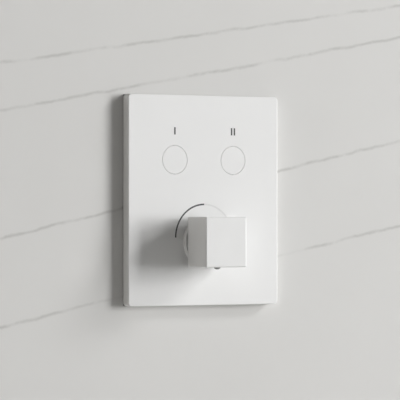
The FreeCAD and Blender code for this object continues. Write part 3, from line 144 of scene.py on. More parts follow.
WELD = 0.000001  # corners closer than this become one
SHARP = math.radians(40)  # a spring's edge stays crisp from this angle on

# Each vein in the wall: its height at the middle of the plate, and how much it climbs to the right.
VEINS = ((0.0105, 0.2136), (-0.0768, 0.2088), (0.1264, 0.1832), (0.1663, 0.1547))


# ---------------------------------------------------------------- sizes and colours


def colour(name, description, default):
    return FloatVectorProperty(
        name=name, description=description, default=default, size=3, min=0, max=1, subtype="COLOR"
    )


def length(name, description, default):
    return FloatProperty(name=name, description=description, default=default, min=0, unit="LENGTH")


def share(name, description, default):
    return FloatProperty(name=name, description=description, default=default, min=0, max=1, subtype="FACTOR")


def angle(name, description, degrees):
    return FloatProperty(name=name, description=description, default=math.radians(degrees), unit="ROTATION")


def power(name, description, default):
    return FloatProperty(name=name, description=description, default=default, min=0, unit="POWER")


def spot(name, description, default):
    return FloatVectorProperty(name=name, description=description, default=default, size=3, unit="LENGTH")


def lamp_size(name, description, default):
    return FloatVectorProperty(
        name=name, description=description, default=default, size=2, min=0, unit="LENGTH"
    )


class TrimFinish(bpy.types.PropertyGroup):
    coat: colour("Coat", "Colour of the plate, knob, collar and buttons", (0.80, 0.80, 0.795))
    coat_roughness: share("Coat roughness", "How matt the white coat is", 0.42)
    grain: length("Grain", "Width of the coat's fine texture", 0.0012)
    dark_mark: colour("Dark mark", "Colour of the numerals and the scale's dark half", (0.045, 0.045, 0.048))
    pale_mark: colour("Pale mark", "Colour of the scale's pale half", (0.71, 0.71, 0.705))


class PlasticFinish(bpy.types.PropertyGroup):
    grey: colour("Grey", "Colour of the carrier frame and the guides", (0.13, 0.133, 0.138))
    button: colour("Safety button", "Colour of the safety button", (0.26, 0.26, 0.265))
    valve: colour("Valve plastic", "Colour of the push rods and check valves", (0.66, 0.66, 0.60))
    rubber: colour("Rubber", "Colour of the seals", (0.018, 0.018, 0.018))


class MetalFinish(bpy.types.PropertyGroup):
    cast_brass: colour("Cast brass", "Colour of the valve body", (0.63, 0.43, 0.19))
    turned_brass: colour("Turned brass", "Colour of the nuts, spindle and cartridges", (0.78, 0.57, 0.25))
    stainless: colour("Stainless steel", "Colour of the springs, stems and small screws", (0.60, 0.59, 0.57))
    zinc: colour("Zinc", "Colour of the brackets and their screws", (0.56, 0.58, 0.60))
    sand_grain: length("Sand grain", "Width of the casting's texture", 0.0009)
    spangle: length("Spangle", "Width of the zinc's crystals", 0.006)


class PipeThread(bpy.types.PropertyGroup):
    root_radius: length("Root radius", "Radius of the bore that the thread stands on", 0.0093)
    height: length("Height", "How far the thread stands in from the bore", 0.00085)
    pitch: length("Pitch", "Rise of one turn", 0.001814)
    thread_length: length("Length", "Length of the threaded bore", 0.0135)
    root_half: share("Root", "Half of the ridge's width at the bore, as a share of the pitch", 0.46)
    crest_half: share("Crest", "Half of the ridge's width at its top, as a share of the pitch", 0.06)
    steps_per_turn: IntProperty(name="Steps", description="Steps in one turn", default=40, min=8)


class RoomSetting(bpy.types.PropertyGroup):
    wall: colour("Wall", "Colour of the wall", (0.64, 0.635, 0.62))
    vein: colour("Vein", "Colour of the faint veins in the wall", (0.48, 0.475, 0.46))
    vein_width: length("Vein width", "Width of a vein where it is strongest", 0.0048)
    vein_waver: length("Vein waver", "How far a vein strays from its line", 0.0045)
    vein_spacing: length("Vein spacing", "Height after which the veins come again", 0.42)
    wall_reach: length("Wall reach", "How far the wall goes to each side and up", 4.0)
    recess_gap: length("Recess gap", "Room between the carrier frame and the recess in the wall", 0.0004)
    floor: colour("Floor", "Colour of the floor", (0.72, 0.72, 0.71))
    floor_paleness: share("Floor paleness", "How far the floor's tone goes to the backdrop's", 0.6)
    floor_drop: length("Floor drop", "How far the floor lies below the plate's centre", 0.9)
    floor_reach: length("Floor reach", "How far the floor goes each way", 8.0)
    daylight: share("Daylight", "Brightness of the light from all round", 0.024)
    daylight_colour: colour("Daylight colour", "Colour of the light from all round", (1.0, 0.96, 0.90))
    backdrop: colour("Backdrop", "Colour of the empty background", (0.86, 0.86, 0.86))
    lamp_distance: length("Lamp distance", "Distance of the two lamps on the right", 12.0)
    key_power: power("Main lamp", "Power of the main lamp on the right", 1220)
    key_size: lamp_size("Main lamp size", "Width and height of the main lamp", (3.37, 4.67))
    key_turn: angle("Main lamp turn", "How far it stands to the right of straight ahead", 56)
    key_rise: angle("Main lamp rise", "How high it stands", 7)
    side_power: power("Side lamp", "Power of the higher lamp, further round to the right", 595)
    side_size: lamp_size("Side lamp size", "Width and height of the side lamp", (2.3, 2.1))
    side_turn: angle("Side lamp turn", "How far it stands to the right of straight ahead", 65)
    side_rise: angle("Side lamp rise", "How high it stands", 27)
    fill_power: power("Left lamp", "Power of the weak lamp on the left, close to the wall", 6)
    fill_colour: colour("Left lamp colour", "Colour of the weak lamp on the left", (1.0, 0.93, 0.85))
    fill_distance: length("Left lamp distance", "Distance of the weak lamp on the left", 3.0)
    fill_turn: angle("Left lamp turn", "How far it stands to the left of straight ahead", 80)
    fill_size: lamp_size("Left lamp size", "Width and height of the weak lamp", (0.9, 1.4))
    back_power: power("Back lamp", "Power of the lamp behind the wall", 30)
    back_place: spot("Back lamp place", "Where the lamp behind the wall stands", (-1.3, 1.5, 1.1))
    back_target: spot("Back lamp target", "What it shines at, the middle of the casting", (0, 0.05, 0))
    back_size: lamp_size("Back lamp size", "Width and height of the lamp behind the wall", (1.2, 1.2))


class CameraSetting(bpy.types.PropertyGroup):
    distance: length("Distance", "Distance from the camera to the plate", 2.925)
    turn: angle("Turn", "How far the camera stands to the left of straight ahead", 30.9)
    drop: length("Drop", "How far the camera stands below the plate's centre", 0.017)
    tilt: angle("Tilt", "How far the camera looks up", 0.339)
    aside: length("Aside", "How far the camera's line passes to the left of the plate's centre", 0.0041)
    lens: FloatProperty(name="Lens", description="Focal length in millimetres", default=263.2, min=1)


# ---------------------------------------------------------------- materials


def shaded(shade, times):
    return tuple(min(1.0, channel * times) for channel in shade)


class Finish:
    """A node material built around one Principled shader, with patterns on Object coordinates."""

    # The mix node's sockets: what it goes by, its two ends and its result.
    MIX_SOCKETS = {"FLOAT": (0, 2, 3, 0), "RGBA": (0, 6, 7, 2)}

    def __init__(self, name, base_colour, roughness, metallic=0.0):
        self.material = bpy.data.materials.new(name)
        self.material.use_nodes = True
        self.tree = self.material.node_tree
        self.shader = next(node for node in self.tree.nodes if node.type == "BSDF_PRINCIPLED")
        self.base_colour = tuple(base_colour)
        self.give(self.shader.inputs["Base Color"], base_colour)
        self.feed(self.shader, Roughness=roughness, Metallic=metallic)
        self.place = self.add("ShaderNodeTexCoord").outputs["Object"]

    def add(self, kind, **settings):
        node = self.tree.nodes.new(kind)
        for name, value in settings.items():
            setattr(node, name, value)
        return node

    def link(self, source, target):
        self.tree.links.new(source, target)

    def give(self, socket, value):
        """Link a socket to another one, or set its value."""
        if isinstance(value, bpy.types.NodeSocket):
            self.link(value, socket)
        elif socket.type == "RGBA":
            socket.default_value = (*value, 1)
        else:
            socket.default_value = value

    def feed(self, node, **values):
        """Give a node's inputs their values or links; an underscore stands for a space."""
        for name, value in values.items():
            self.give(node.inputs[name.replace("_", " ")], value)
        return node

    def stretched(self, scale):
        """Object coordinates, stretched along the axes."""
        return self.feed(self.add("ShaderNodeMapping"), Vector=self.place, Scale=scale).outputs["Vector"]

    def noise(self, size, detail=2.0, roughness=0.5, vector=None):
        node = self.add("ShaderNodeTexNoise")
        self.feed(node, Vector=vector or self.place, Scale=1 / size, Detail=detail, Roughness=roughness)
        return node.outputs["Fac"]

    def pits(self, size):
        node = self.add("ShaderNodeTexVoronoi")
        return self.feed(node, Vector=self.place, Scale=1 / size).outputs["Distance"]

    def spread(self, source, low, high, start=0.0, end=1.0):
        """Map a pattern from the range start to end to the range low to high."""
        node = self.add("ShaderNodeMapRange", clamp=True)
        self.feed(node, Value=source, From_Min=start, From_Max=end, To_Min=low, To_Max=high)
        return node.outputs["Result"]

    def calculate(self, operation, first, second=0.0):
        node = self.add("ShaderNodeMath", operation=operation)
        for socket, value in zip(node.inputs, (first, second)):
            self.give(socket, value)
        return node.outputs[0]

    def axis(self, letter):
        node = self.add("ShaderNodeSeparateXYZ")
        return self.feed(node, Vector=self.place).outputs[letter]

    def mixed(self, pattern, first, second, kind="RGBA"):
        """Go from the first value to the second as the pattern goes from 0 to 1."""
        node = self.add("ShaderNodeMix", data_type=kind)
        *ends, result = self.MIX_SOCKETS[kind]
        for number, value in zip(ends, (pattern, first, second)):
            self.give(node.inputs[number], value)
        return node.outputs[result]

    def vary_colour(self, pattern, darkest, lightest):
        """Shade the base colour between two shares of itself."""
        varied = self.mixed(pattern, shaded(self.base_colour, darkest), shaded(self.base_colour, lightest))
        self.link(varied, self.shader.inputs["Base Color"])

    def vary_roughness(self, pattern, low, high):
        self.link(self.spread(pattern, low, high), self.shader.inputs["Roughness"])

    def relief(self, pattern, height, strength, under=None):
        """Raise the surface by a pattern, on top of the relief under it."""
        node = self.feed(self.add("ShaderNodeBump"), Height=pattern, Distance=height, Strength=strength)
        if under is not None:
            self.link(under, node.inputs["Normal"])
        self.link(node.outputs["Normal"], self.shader.inputs["Normal"])
        return node.outputs["Normal"]

    def seen_directly(self):
        """1 for the camera's rays and for mirrored ones."""
        ray = self.add("ShaderNodeLightPath")
        return self.calculate("MAXIMUM", ray.outputs["Is Camera Ray"], ray.outputs["Is Glossy Ray"])

    def give_way(self, how_far, other):
        """Let another shader take the main one's place, as far as the pattern says."""
        mix = self.add("ShaderNodeMixShader")
        for socket, source in zip(mix.inputs, (how_far, self.shader.outputs[0], other.outputs[0])):
            self.link(source, socket)
        output = next(node for node in self.tree.nodes if node.type == "OUTPUT_MATERIAL")
        self.link(mix.outputs[0], output.inputs["Surface"])


def wear(names, finish):
    """Give CAD nodes or new pieces a finish."""
    for name in names:
        piece = NODES.get(name) or bpy.data.objects[name]
        if piece.material_slots:
            for material_slot in piece.material_slots:
                material_slot.material = finish.material
        else:
            piece.data.materials.append(finish.material)


def white_coat(trim):
    """Satin white coat: a faint orange peel, slow drifts of shade and gloss."""
    finish = Finish("white_coat", trim.coat, trim.coat_roughness)
    drift = finish.noise(0.05, detail=3)
    peel = finish.noise(trim.grain, detail=2, roughness=0.4)
    dust = finish.noise(trim.grain / 4, detail=1)
    finish.vary_colour(drift, darkest=0.985, lightest=1.008)
    half_drift = finish.calculate("MULTIPLY", drift, 0.5)
    half_dust = finish.calculate("MULTIPLY", dust, 0.5)
    gloss = finish.calculate("ADD", half_drift, half_dust)
    finish.vary_roughness(gloss, low=trim.coat_roughness - 0.05, high=trim.coat_roughness + 0.08)
    finish.relief(peel, height=0.00003, strength=0.35)
    finish.shader.inputs["Specular IOR Level"].default_value = 0.45
    return finish


def printed_mark(name, ink):
    """Pad-printed ink, a little uneven where it lies thin."""
    finish = Finish(name, ink, roughness=0.55)
    patches = finish.noise(0.0011, detail=4)
    finish.vary_colour(patches, darkest=0.86, lightest=1.12)
    finish.vary_roughness(patches, low=0.48, high=0.66)
    finish.relief(finish.noise(0.0003), height=0.00001, strength=0.4)
    return finish


def moulded_plastic(name, shade, roughness, texture=0.0006):
    """Moulded plastic with a fine spark-eroded texture and slow flow marks."""
    finish = Finish(name, shade, roughness)
    flow = finish.noise(0.03, detail=2, vector=finish.stretched((1, 1, 0.35)))
    finish.vary_colour(flow, darkest=0.90, lightest=1.10)
    finish.vary_roughness(finish.noise(texture, detail=2), low=roughness - 0.08, high=roughness + 0.10)
    finish.relief(finish.noise(texture, detail=3, roughness=0.6), height=0.00004, strength=0.5)
    return finish


def seal_rubber(shade):
    """Black rubber with a dusty bloom."""
    finish = Finish("seal_rubber", shade, roughness=0.75)
    bloom = finish.noise(0.004, detail=5, roughness=0.65)
    finish.vary_colour(bloom, darkest=0.7, lightest=2.1)
    finish.vary_roughness(bloom, low=0.62, high=0.86)
    finish.relief(finish.noise(0.0005, detail=3), height=0.00003, strength=0.5)
    return finish


def cast_brass(metals):
    """Sand-cast brass: rough skin with a parting line, and bright machined ends and mouths."""
    finish = Finish("cast_brass", metals.cast_brass, roughness=0.5, metallic=1.0)
    machined = machined_ends(finish)
    on_skin = finish.calculate("SUBTRACT", 1.0, machined)
    tarnish = finish.noise(0.018, detail=5, roughness=0.6)
    skin = finish.mixed(tarnish, shaded(metals.cast_brass, 0.62), shaded(metals.cast_brass, 1.08))
    bright = finish.mixed(tarnish, shaded(metals.turned_brass, 0.94), metals.turned_brass)
    finish.link(finish.mixed(machined, skin, bright), finish.shader.inputs["Base Color"])
    sand = finish.noise(metals.sand_grain, detail=4, roughness=0.65)
    tool_marks = finish.noise(0.002, vector=finish.stretched((0.1, 1, 1)))
    rough_skin = finish.spread(sand, low=0.42, high=0.66)
    rough_bright = finish.spread(tool_marks, low=0.18, high=0.32)
    finish.link(finish.mixed(machined, rough_skin, rough_bright, "FLOAT"), finish.shader.inputs["Roughness"])
    shallow_pits = finish.calculate("MULTIPLY", finish.pits(metals.sand_grain * 2.2), 0.5)
    grain = finish.calculate("MULTIPLY", finish.calculate("ADD", sand, shallow_pits), on_skin)
    under = finish.relief(grain, height=0.00022, strength=0.8)
    seam = finish.calculate("MULTIPLY", parting_line(finish), on_skin)
    finish.relief(seam, height=0.00035, strength=1.0, under=under)
    return finish


def machined_ends(finish):
    """1 on the faces that a lathe or mill has cut: pipe ends, chamber mouths and the back of the lugs."""
    low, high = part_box("valve_body")
    cut = 0.0003
    sideways = finish.calculate("ABSOLUTE", finish.axis("X"))
    result = finish.calculate("GREATER_THAN", sideways, high.x - cut)
    for face in (
        finish.calculate("GREATER_THAN", finish.axis("Z"), high.z - cut),
        finish.calculate("GREATER_THAN", finish.axis("Y"), high.y - cut),
        finish.calculate("LESS_THAN", finish.axis("Y"), low.y + cut),
    ):
        result = finish.calculate("MAXIMUM", result, face)
    return result


def parting_line(finish):
    """A thin ridge round the casting where the two halves of the mould met."""
    low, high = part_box("hot_check_cage")
    supply = (low.y + high.y) / 2
    away = finish.calculate("ABSOLUTE", finish.calculate("SUBTRACT", finish.axis("Y"), supply))
    return finish.spread(away, low=1.0, high=0.0, start=0.0002, end=0.0008)


def turned_metal(name, shade, rings_along, low=0.14, high=0.30):
    """Metal cut on a lathe: fine rings across the axis that it was turned about."""
    finish = Finish(name, shade, low, metallic=1.0)
    stretch = tuple(1.0 if letter == rings_along else 0.04 for letter in "XYZ")
    rings = finish.noise(0.00035, detail=2, vector=finish.stretched(stretch))
    stain = finish.noise(0.012, detail=4, roughness=0.6)
    finish.vary_colour(stain, darkest=0.84, lightest=1.04)
    stained_rings = finish.calculate("MULTIPLY", rings, finish.spread(stain, low=0.7, high=1.0))
    finish.vary_roughness(stained_rings, low, high + 0.1)
    finish.relief(rings, height=0.00003, strength=0.5)
    return finish


def stainless_steel(shade):
    """Brushed stainless steel."""
    finish = Finish("stainless_steel", shade, roughness=0.28, metallic=1.0)
    brush = finish.noise(0.0004, detail=3, vector=finish.stretched((1, 0.15, 1)))
    finish.vary_colour(finish.noise(0.01, detail=3), darkest=0.90, lightest=1.06)
    finish.vary_roughness(brush, low=0.20, high=0.40)
    finish.relief(brush, height=0.00002, strength=0.4)
    return finish


def zinc_coat(metals):
    """Hot-dip zinc: crystals of slightly different shade and gloss, with wandering edges."""
    finish = Finish("zinc_coat", metals.zinc, roughness=0.4, metallic=1.0)
    drift = finish.add("ShaderNodeTexNoise")
    finish.feed(drift, Vector=finish.place, Scale=1 / metals.spangle, Detail=2.0)
    shift = finish.add("ShaderNodeVectorMath", operation="SCALE")
    finish.link(drift.outputs["Color"], shift.inputs[0])
    shift.inputs["Scale"].default_value = metals.spangle * 0.6
    warped = finish.add("ShaderNodeVectorMath", operation="ADD")
    finish.link(finish.place, warped.inputs[0])
    finish.link(shift.outputs["Vector"], warped.inputs[1])
    crystals = finish.add("ShaderNodeTexVoronoi")
    finish.feed(crystals, Vector=warped.outputs["Vector"], Scale=1 / metals.spangle)
    channel = finish.add("ShaderNodeSeparateColor")
    finish.link(crystals.outputs["Color"], channel.inputs["Color"])
    finish.vary_colour(channel.outputs["Red"], darkest=0.74, lightest=1.14)
    finish.vary_roughness(channel.outputs["Green"], low=0.28, high=0.52)
    finish.relief(finish.noise(0.001, detail=3), height=0.00004, strength=0.35)
    return finish


# ---------------------------------------------------------------- new pieces


def screw_thread(name, centre, out_axis, thread):
    """A right-handed ridge inside a pipe bore, spun from one section that starts at the bore's inner end."""
    mesh_maker = bmesh.new()
    turns = thread.thread_length / thread.pitch - 1
    root_half, crest_half = thread.pitch * thread.root_half, thread.pitch * thread.crest_half
    buried = 0.00006
    root, crest = thread.root_radius + buried, thread.root_radius - thread.height
    outline = ((root, -root_half), (crest, -crest_half), (crest, crest_half), (root, root_half))
    corners = [mesh_maker.verts.new((radius, 0, along)) for radius, along in outline]
    section = mesh_maker.faces.new(corners)
    bmesh.ops.spin(
        mesh_maker,
        geom=[section, *section.verts, *section.edges],
        cent=(0, 0, 0),
        axis=(0, 0, 1),
        dvec=(0, 0, thread.pitch / thread.steps_per_turn),
        angle=math.tau * turns,
        steps=round(thread.steps_per_turn * turns),
        use_merge=False,
    )
    bmesh.ops.remove_doubles(mesh_maker, verts=mesh_maker.verts[:], dist=WELD)
    open_edges = [edge for edge in mesh_maker.edges if edge.is_boundary]
    bmesh.ops.holes_fill(mesh_maker, edges=open_edges, sides=len(outline))
    bmesh.ops.recalc_face_normals(mesh_maker, faces=mesh_maker.faces[:])
    start = (thread.pitch - thread.thread_length) / 2
    place = Matrix.Translation(centre) @ Vector(out_axis).to_track_quat("Z", "Y").to_matrix().to_4x4()
    mesh_maker.transform(place @ Matrix.Translation((0, 0, start)))
    return new_piece(name, mesh_maker)


def working_spring(name, body):
    """A smooth copy of a spring that rides on its body in place of the CAD node."""
    node = NODES[name]
    mesh_maker = bmesh.new()
    mesh_maker.from_mesh(node.data)
    mesh_maker.transform(node.matrix_world)
    bmesh.ops.remove_doubles(mesh_maker, verts=mesh_maker.verts[:], dist=WELD)
    for face in mesh_maker.faces:
        face.smooth = True
    for edge in mesh_maker.edges:
        edge.smooth = edge.calc_face_angle(0) < SHARP
    piece = new_piece(f"{name}_coil", mesh_maker)
    piece.data.materials.append(node.material_slots[0].material)
    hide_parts(name)
    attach(piece, body)
    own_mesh(piece)
    return piece


def new_piece(name, mesh_maker):
    mesh = bpy.data.meshes.new(name)
    mesh_maker.to_mesh(mesh)
    mesh_maker.free()
    piece = bpy.data.objects.new(name, mesh)
    bpy.context.scene.collection.objects.link(piece)
    return piece


def named(entries, name):
    return next(entry for entry in entries if entry["name"] == name)


# ---------------------------------------------------------------- stage


def flat_sheet(name, outline):
    """A flat sheet through the given corners."""
    mesh_maker = bmesh.new()
    mesh_maker.faces.new([mesh_maker.verts.new(corner) for corner in outline])
    piece = new_piece(name, mesh_maker)
    return piece


def sheet_with_recess(name, low, high, gap):
    """An upright sheet at y = 0, open behind the plate where the valve sits in its recess."""
    inner_low, inner_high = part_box("carrier_frame")
    left, right = inner_low.x - gap, inner_high.x + gap
    bottom, top = inner_low.z - gap, inner_high.z + gap
    outer = [(low[0], low[1]), (high[0], low[1]), (high[0], high[1]), (low[0], high[1])]
    inner = [(left, bottom), (right, bottom), (right, top), (left, top)]
    mesh_maker = bmesh.new()
    outer_corners = [mesh_maker.verts.new((x, 0, z)) for x, z in outer]
    inner_corners = [mesh_maker.verts.new((x, 0, z)) for x, z in inner]
    for this in range(len(outer)):
        after = (this + 1) % len(outer)
        outside = outer_corners[this], outer_corners[after]
        inside = inner_corners[after], inner_corners[this]
        mesh_maker.faces.new((*outside, *inside))
    piece = new_piece(name, mesh_maker)
    return piece


def wall_finish(room):
    """Pale honed stone with faint veins. From behind, the camera sees through it to the valve."""
    finish = Finish("wall_stone", room.wall, roughness=0.6)
    cloud = finish.noise(0.22, detail=4, roughness=0.6)
    finish.vary_colour(cloud, darkest=0.965, lightest=1.03)
    stone = finish.shader.inputs["Base Color"].links[0].from_socket
    finish.link(finish.mixed(veins(finish, room), stone, room.vein), finish.shader.inputs["Base Color"])
    finish.relief(finish.noise(0.01, detail=4), height=0.0002, strength=0.15)
    see_through_from_behind(finish)
    return finish


def veins(finish, room):
    """1 on the thin, nearly straight lines in the stone, which waver a little and fade in places."""
    across = finish.axis("X")
    waver = finish.spread(
        finish.noise(0.05, detail=5, roughness=0.62), low=-room.vein_waver, high=room.vein_waver
    )
    height = finish.calculate("ADD", finish.axis("Z"), waver)
    strength = finish.spread(
        finish.noise(0.045, detail=4, roughness=0.65), low=0.15, high=1.0, start=0.38, end=0.58
    )
    result = 0.0
    for start, climb in VEINS:
        line = finish.calculate("ADD", finish.calculate("MULTIPLY", across, climb), start)
        away = finish.calculate("PINGPONG", finish.calculate("SUBTRACT", height, line), room.vein_spacing / 2)
        thin = finish.spread(away, low=1.0, high=0.0, start=0.0, end=room.vein_width / 2)
        result = finish.calculate("MAXIMUM", result, thin)
    return finish.calculate("MULTIPLY", result, strength)


def see_through_from_behind(finish):
    """The wall stays solid to light from both sides, but from behind it hides nothing from the camera."""
    side = finish.add("ShaderNodeNewGeometry")
    clear = finish.calculate("MULTIPLY", side.outputs["Backfacing"], finish.seen_directly())
    finish.give_way(clear, finish.add("ShaderNodeBsdfTransparent"))


def floor_finish(room):
    finish = Finish("floor_paint", room.floor, roughness=0.7)
    finish.vary_colour(finish.noise(0.4, detail=3), darkest=0.97, lightest=1.03)
    finish.relief(finish.noise(0.006, detail=3), height=0.0002, strength=0.2)
    finish.shader.inputs["Specular IOR Level"].default_value = 0.1
    pale_to_the_camera(finish, room)
    return finish


def pale_to_the_camera(finish, room):
    """The camera sees the floor part way to the backdrop's tone; the object's shadow still shows on it."""
    glow = finish.feed(finish.add("ShaderNodeEmission"), Color=room.backdrop)
    paleness = finish.calculate("MULTIPLY", finish.seen_directly(), room.floor_paleness)
    finish.give_way(paleness, glow)


def area_lamp(name, place, target, size, watts):
    """A rectangular lamp; its size is its width and its height."""
    data = bpy.data.lights.new(name, "AREA")
    data.shape = "RECTANGLE"
    data.size, data.size_y = size
    data.energy = watts
    lamp = bpy.data.objects.new(name, data)
    bpy.context.scene.collection.objects.link(lamp)
    lamp.location = place
    lamp.rotation_euler = (Vector(target) - Vector(place)).to_track_quat("-Z", "Y").to_euler()
    lamp.visible_camera = False
    return lamp


def towards(turn, rise):
    """The direction that lies so far to the right of straight ahead, and so high."""
    return Vector((math.sin(turn) * math.cos(rise), -math.cos(turn) * math.cos(rise), math.sin(rise)))


def light_world(room):
    """Even light from all round; the camera, metal and glass see a pale backdrop instead."""
    world = bpy.data.worlds.new("room_light")
    world.use_nodes = True
    bpy.context.scene.world = world
    tree = world.node_tree
    daylight = next(node for node in tree.nodes if node.type == "BACKGROUND")
    daylight.inputs["Color"].default_value = (*room.daylight_colour, 1)
    daylight.inputs["Strength"].default_value = room.daylight
    backdrop = tree.nodes.new("ShaderNodeBackground")
    backdrop.inputs["Color"].default_value = (*room.backdrop, 1)
    backdrop.inputs["Strength"].default_value = 1
    ray = tree.nodes.new("ShaderNodeLightPath")
    seen = ray.outputs["Is Camera Ray"]
    for kind in ("Is Glossy Ray", "Is Transmission Ray"):
        either = tree.nodes.new("ShaderNodeMath")
        either.operation = "MAXIMUM"
        tree.links.new(seen, either.inputs[0])
        tree.links.new(ray.outputs[kind], either.inputs[1])
        seen = either.outputs[0]
    mix = tree.nodes.new("ShaderNodeMixShader")
    tree.links.new(seen, mix.inputs[0])
    tree.links.new(daylight.outputs[0], mix.inputs[1])
    tree.links.new(backdrop.outputs[0], mix.inputs[2])
    output = next(node for node in tree.nodes if node.type == "OUTPUT_WORLD")
    tree.links.new(mix.outputs[0], output.inputs["Surface"])


def aim_camera(setting):
    data = bpy.data.cameras.new("camera")
    data.sensor_width = 36
    data.lens = setting.lens
    camera = bpy.data.objects.new("camera", data)
    bpy.context.scene.collection.objects.link(camera)
    ahead = Vector((math.sin(setting.turn), math.cos(setting.turn), 0))
    right = Vector((math.cos(setting.turn), -math.sin(setting.turn), 0))
    down = Vector((0, 0, -1))
    plate_front = Vector((0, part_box("cover_plate")[0].y, 0))
    back_off = -ahead * setting.distance
    camera.location = plate_front + back_off - right * setting.aside + down * setting.drop
    camera.rotation_euler = (math.radians(90) + setting.tilt, 0, -setting.turn)
    bpy.context.scene.camera = camera


# ---------------------------------------------------------------- operators


class SHOWERVALVE_OT_coat_trim(bpy.types.Operator):
    """Give the plate, knob, collar and buttons their white coat"""

    bl_idname = "showervalve.coat_trim"
    bl_label = "Coat the trim"

    def execute(self, context):
        wear(COATED, white_coat(context.scene.valve_trim))
        return {"FINISHED"}


class SHOWERVALVE_OT_print_marks(bpy.types.Operator):
    """Give the numerals and the temperature scale their ink"""

    bl_idname = "showervalve.print_marks"
    bl_label = "Print the marks"

    def execute(self, context):
        trim = context.scene.valve_trim
        wear(DARK_MARKS, printed_mark("dark_ink", trim.dark_mark))
        wear(PALE_MARKS, printed_mark("pale_ink", trim.pale_mark))
        return {"FINISHED"}


class SHOWERVALVE_OT_finish_plastics(bpy.types.Operator):
    """Give the carrier, guides, check valves and seals their plastic and rubber"""

    bl_idname = "showervalve.finish_plastics"
    bl_label = "Finish the plastics"

    def execute(self, context):
        plastics = context.scene.valve_plastics
        wear(GREY_MOULDINGS, moulded_plastic("grey_moulding", plastics.grey, 0.48))
        wear(SAFETY_MOULDINGS, moulded_plastic("dark_moulding", plastics.button, 0.38, 0.0004))
        wear(VALVE_MOULDINGS, moulded_plastic("valve_moulding", plastics.valve, 0.35, 0.0005))
        wear(RUBBERS, seal_rubber(plastics.rubber))
        return {"FINISHED"}


class SHOWERVALVE_OT_finish_metals(bpy.types.Operator):
    """Give the casting, the turned pieces, the springs and the brackets their metal"""

    bl_idname = "showervalve.finish_metals"
    bl_label = "Finish the metals"

    def execute(self, context):
        metals = context.scene.valve_metals
        wear(CASTINGS, cast_brass(metals))
        wear(TURNED_ALONG_Y, turned_metal("turned_brass", metals.turned_brass, "Y"))
        wear(STAINLESS, stainless_steel(metals.stainless))
        wear(ZINC_PLATED, zinc_coat(metals))
        return {"FINISHED"}


class SHOWERVALVE_OT_cut_threads(bpy.types.Operator):
    """Cut the pipe threads into the two inlets and the two outlets"""

    bl_idname = "showervalve.cut_threads"
    bl_label = "Cut the pipe threads"

    def execute(self, context):
        brass = context.scene.valve_metals.turned_brass
        finish = turned_metal("thread_brass", brass, "Y", low=0.2, high=0.3)
        for port in PORTS:
            mount = named(frame["record"]["mounts"], port)
            thread = context.scene.valve_thread
            piece = screw_thread(f"{port}_thread", mount["pos_m"], mount["axis"], thread)
            wear([piece.name], finish)
            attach(piece, "valve")
        return {"FINISHED"}


class SHOWERVALVE_OT_free_springs(bpy.types.Operator):
    """Put a smooth copy of each spring on its body in place of its CAD node"""

    bl_idname = "showervalve.free_springs"
    bl_label = "Free the springs"

    def execute(self, context):
        for name, (body, joint, to_fixed_end) in SPRINGS.items():
            working_spring(name, body)
        return {"FINISHED"}


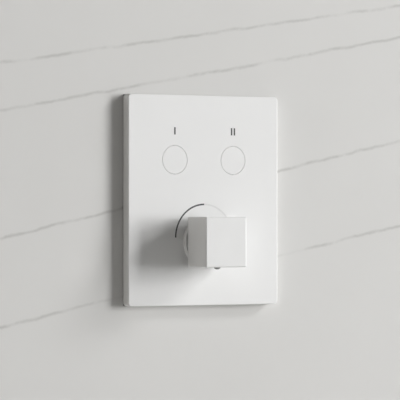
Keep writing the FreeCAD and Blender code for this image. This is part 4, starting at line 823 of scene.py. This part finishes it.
class SHOWERVALVE_OT_set_stage(bpy.types.Operator):
    """Build the wall and the floor, the lamps, the room light and the camera"""

    bl_idname = "showervalve.set_stage"
    bl_label = "Set the stage"

    def execute(self, context):
        room = context.scene.valve_room
        self.lay_sheets(room)
        self.hang_lamps(room)
        light_world(room)
        aim_camera(context.scene.valve_camera)
        context.scene.view_settings.view_transform = "Standard"
        return {"FINISHED"}

    def lay_sheets(self, room):
        ground = -room.floor_drop
        wall_low, wall_high = (-room.wall_reach, ground), (room.wall_reach, room.wall_reach)
        wall = sheet_with_recess("wall", wall_low, wall_high, room.recess_gap)
        wear([wall.name], wall_finish(room))
        signs = ((-1, -1), (1, -1), (1, 1), (-1, 1))
        corners = [(x * room.floor_reach, y * room.floor_reach, ground) for x, y in signs]
        floor = flat_sheet("floor", corners)
        wear([floor.name], floor_finish(room))

    def hang_lamps(self, room):
        centre = (0, 0, 0)
        key_place = towards(room.key_turn, room.key_rise) * room.lamp_distance
        area_lamp("key_lamp", key_place, centre, room.key_size, room.key_power)
        side_place = towards(room.side_turn, room.side_rise) * room.lamp_distance
        area_lamp("side_lamp", side_place, centre, room.side_size, room.side_power)
        fill_place = towards(-room.fill_turn, 0) * room.fill_distance
        fill_lamp = area_lamp("fill_lamp", fill_place, centre, room.fill_size, room.fill_power)
        fill_lamp.data.color = room.fill_colour
        area_lamp("back_lamp", room.back_place, room.back_target, room.back_size, room.back_power)


class SHOWERVALVE_PT_sidebar(bpy.types.Panel):
    """Lists the steps that finish the valve, and their sizes and colours"""

    bl_idname = "SHOWERVALVE_PT_sidebar"
    bl_label = "Thermostatic shower valve"
    bl_space_type = "VIEW_3D"
    bl_region_type = "UI"
    bl_category = "Shower Valve"

    def draw(self, context):
        for step in STEPS:
            self.layout.operator(step.bl_idname)
        for attribute, group in SETTINGS.items():
            box = self.layout.box()
            box.label(text=attribute.replace("_", " ").capitalize())
            for name in group.__annotations__:
                box.prop(getattr(context.scene, attribute), name)


STEPS = (
    SHOWERVALVE_OT_coat_trim,
    SHOWERVALVE_OT_print_marks,
    SHOWERVALVE_OT_finish_plastics,
    SHOWERVALVE_OT_finish_metals,
    SHOWERVALVE_OT_cut_threads,
    SHOWERVALVE_OT_free_springs,
    SHOWERVALVE_OT_set_stage,
)

SETTINGS = {
    "valve_trim": TrimFinish,
    "valve_plastics": PlasticFinish,
    "valve_metals": MetalFinish,
    "valve_thread": PipeThread,
    "valve_room": RoomSetting,
    "valve_camera": CameraSetting,
}


def register():
    for attribute, group in SETTINGS.items():
        bpy.utils.register_class(group)
        setattr(bpy.types.Scene, attribute, PointerProperty(type=group))
    for step in (*STEPS, SHOWERVALVE_PT_sidebar):
        bpy.utils.register_class(step)


def unregister():
    for step in (SHOWERVALVE_PT_sidebar, *reversed(STEPS)):
        bpy.utils.unregister_class(step)
    for attribute, group in reversed(list(SETTINGS.items())):
        delattr(bpy.types.Scene, attribute)
        bpy.utils.unregister_class(group)


def main():
    register()
    bpy.ops.showervalve.coat_trim()
    bpy.ops.showervalve.print_marks()
    bpy.ops.showervalve.finish_plastics()
    bpy.ops.showervalve.finish_metals()
    bpy.ops.showervalve.cut_threads()
    bpy.ops.showervalve.free_springs()
    bpy.ops.showervalve.set_stage()


if __name__ == "__main__":
    main()
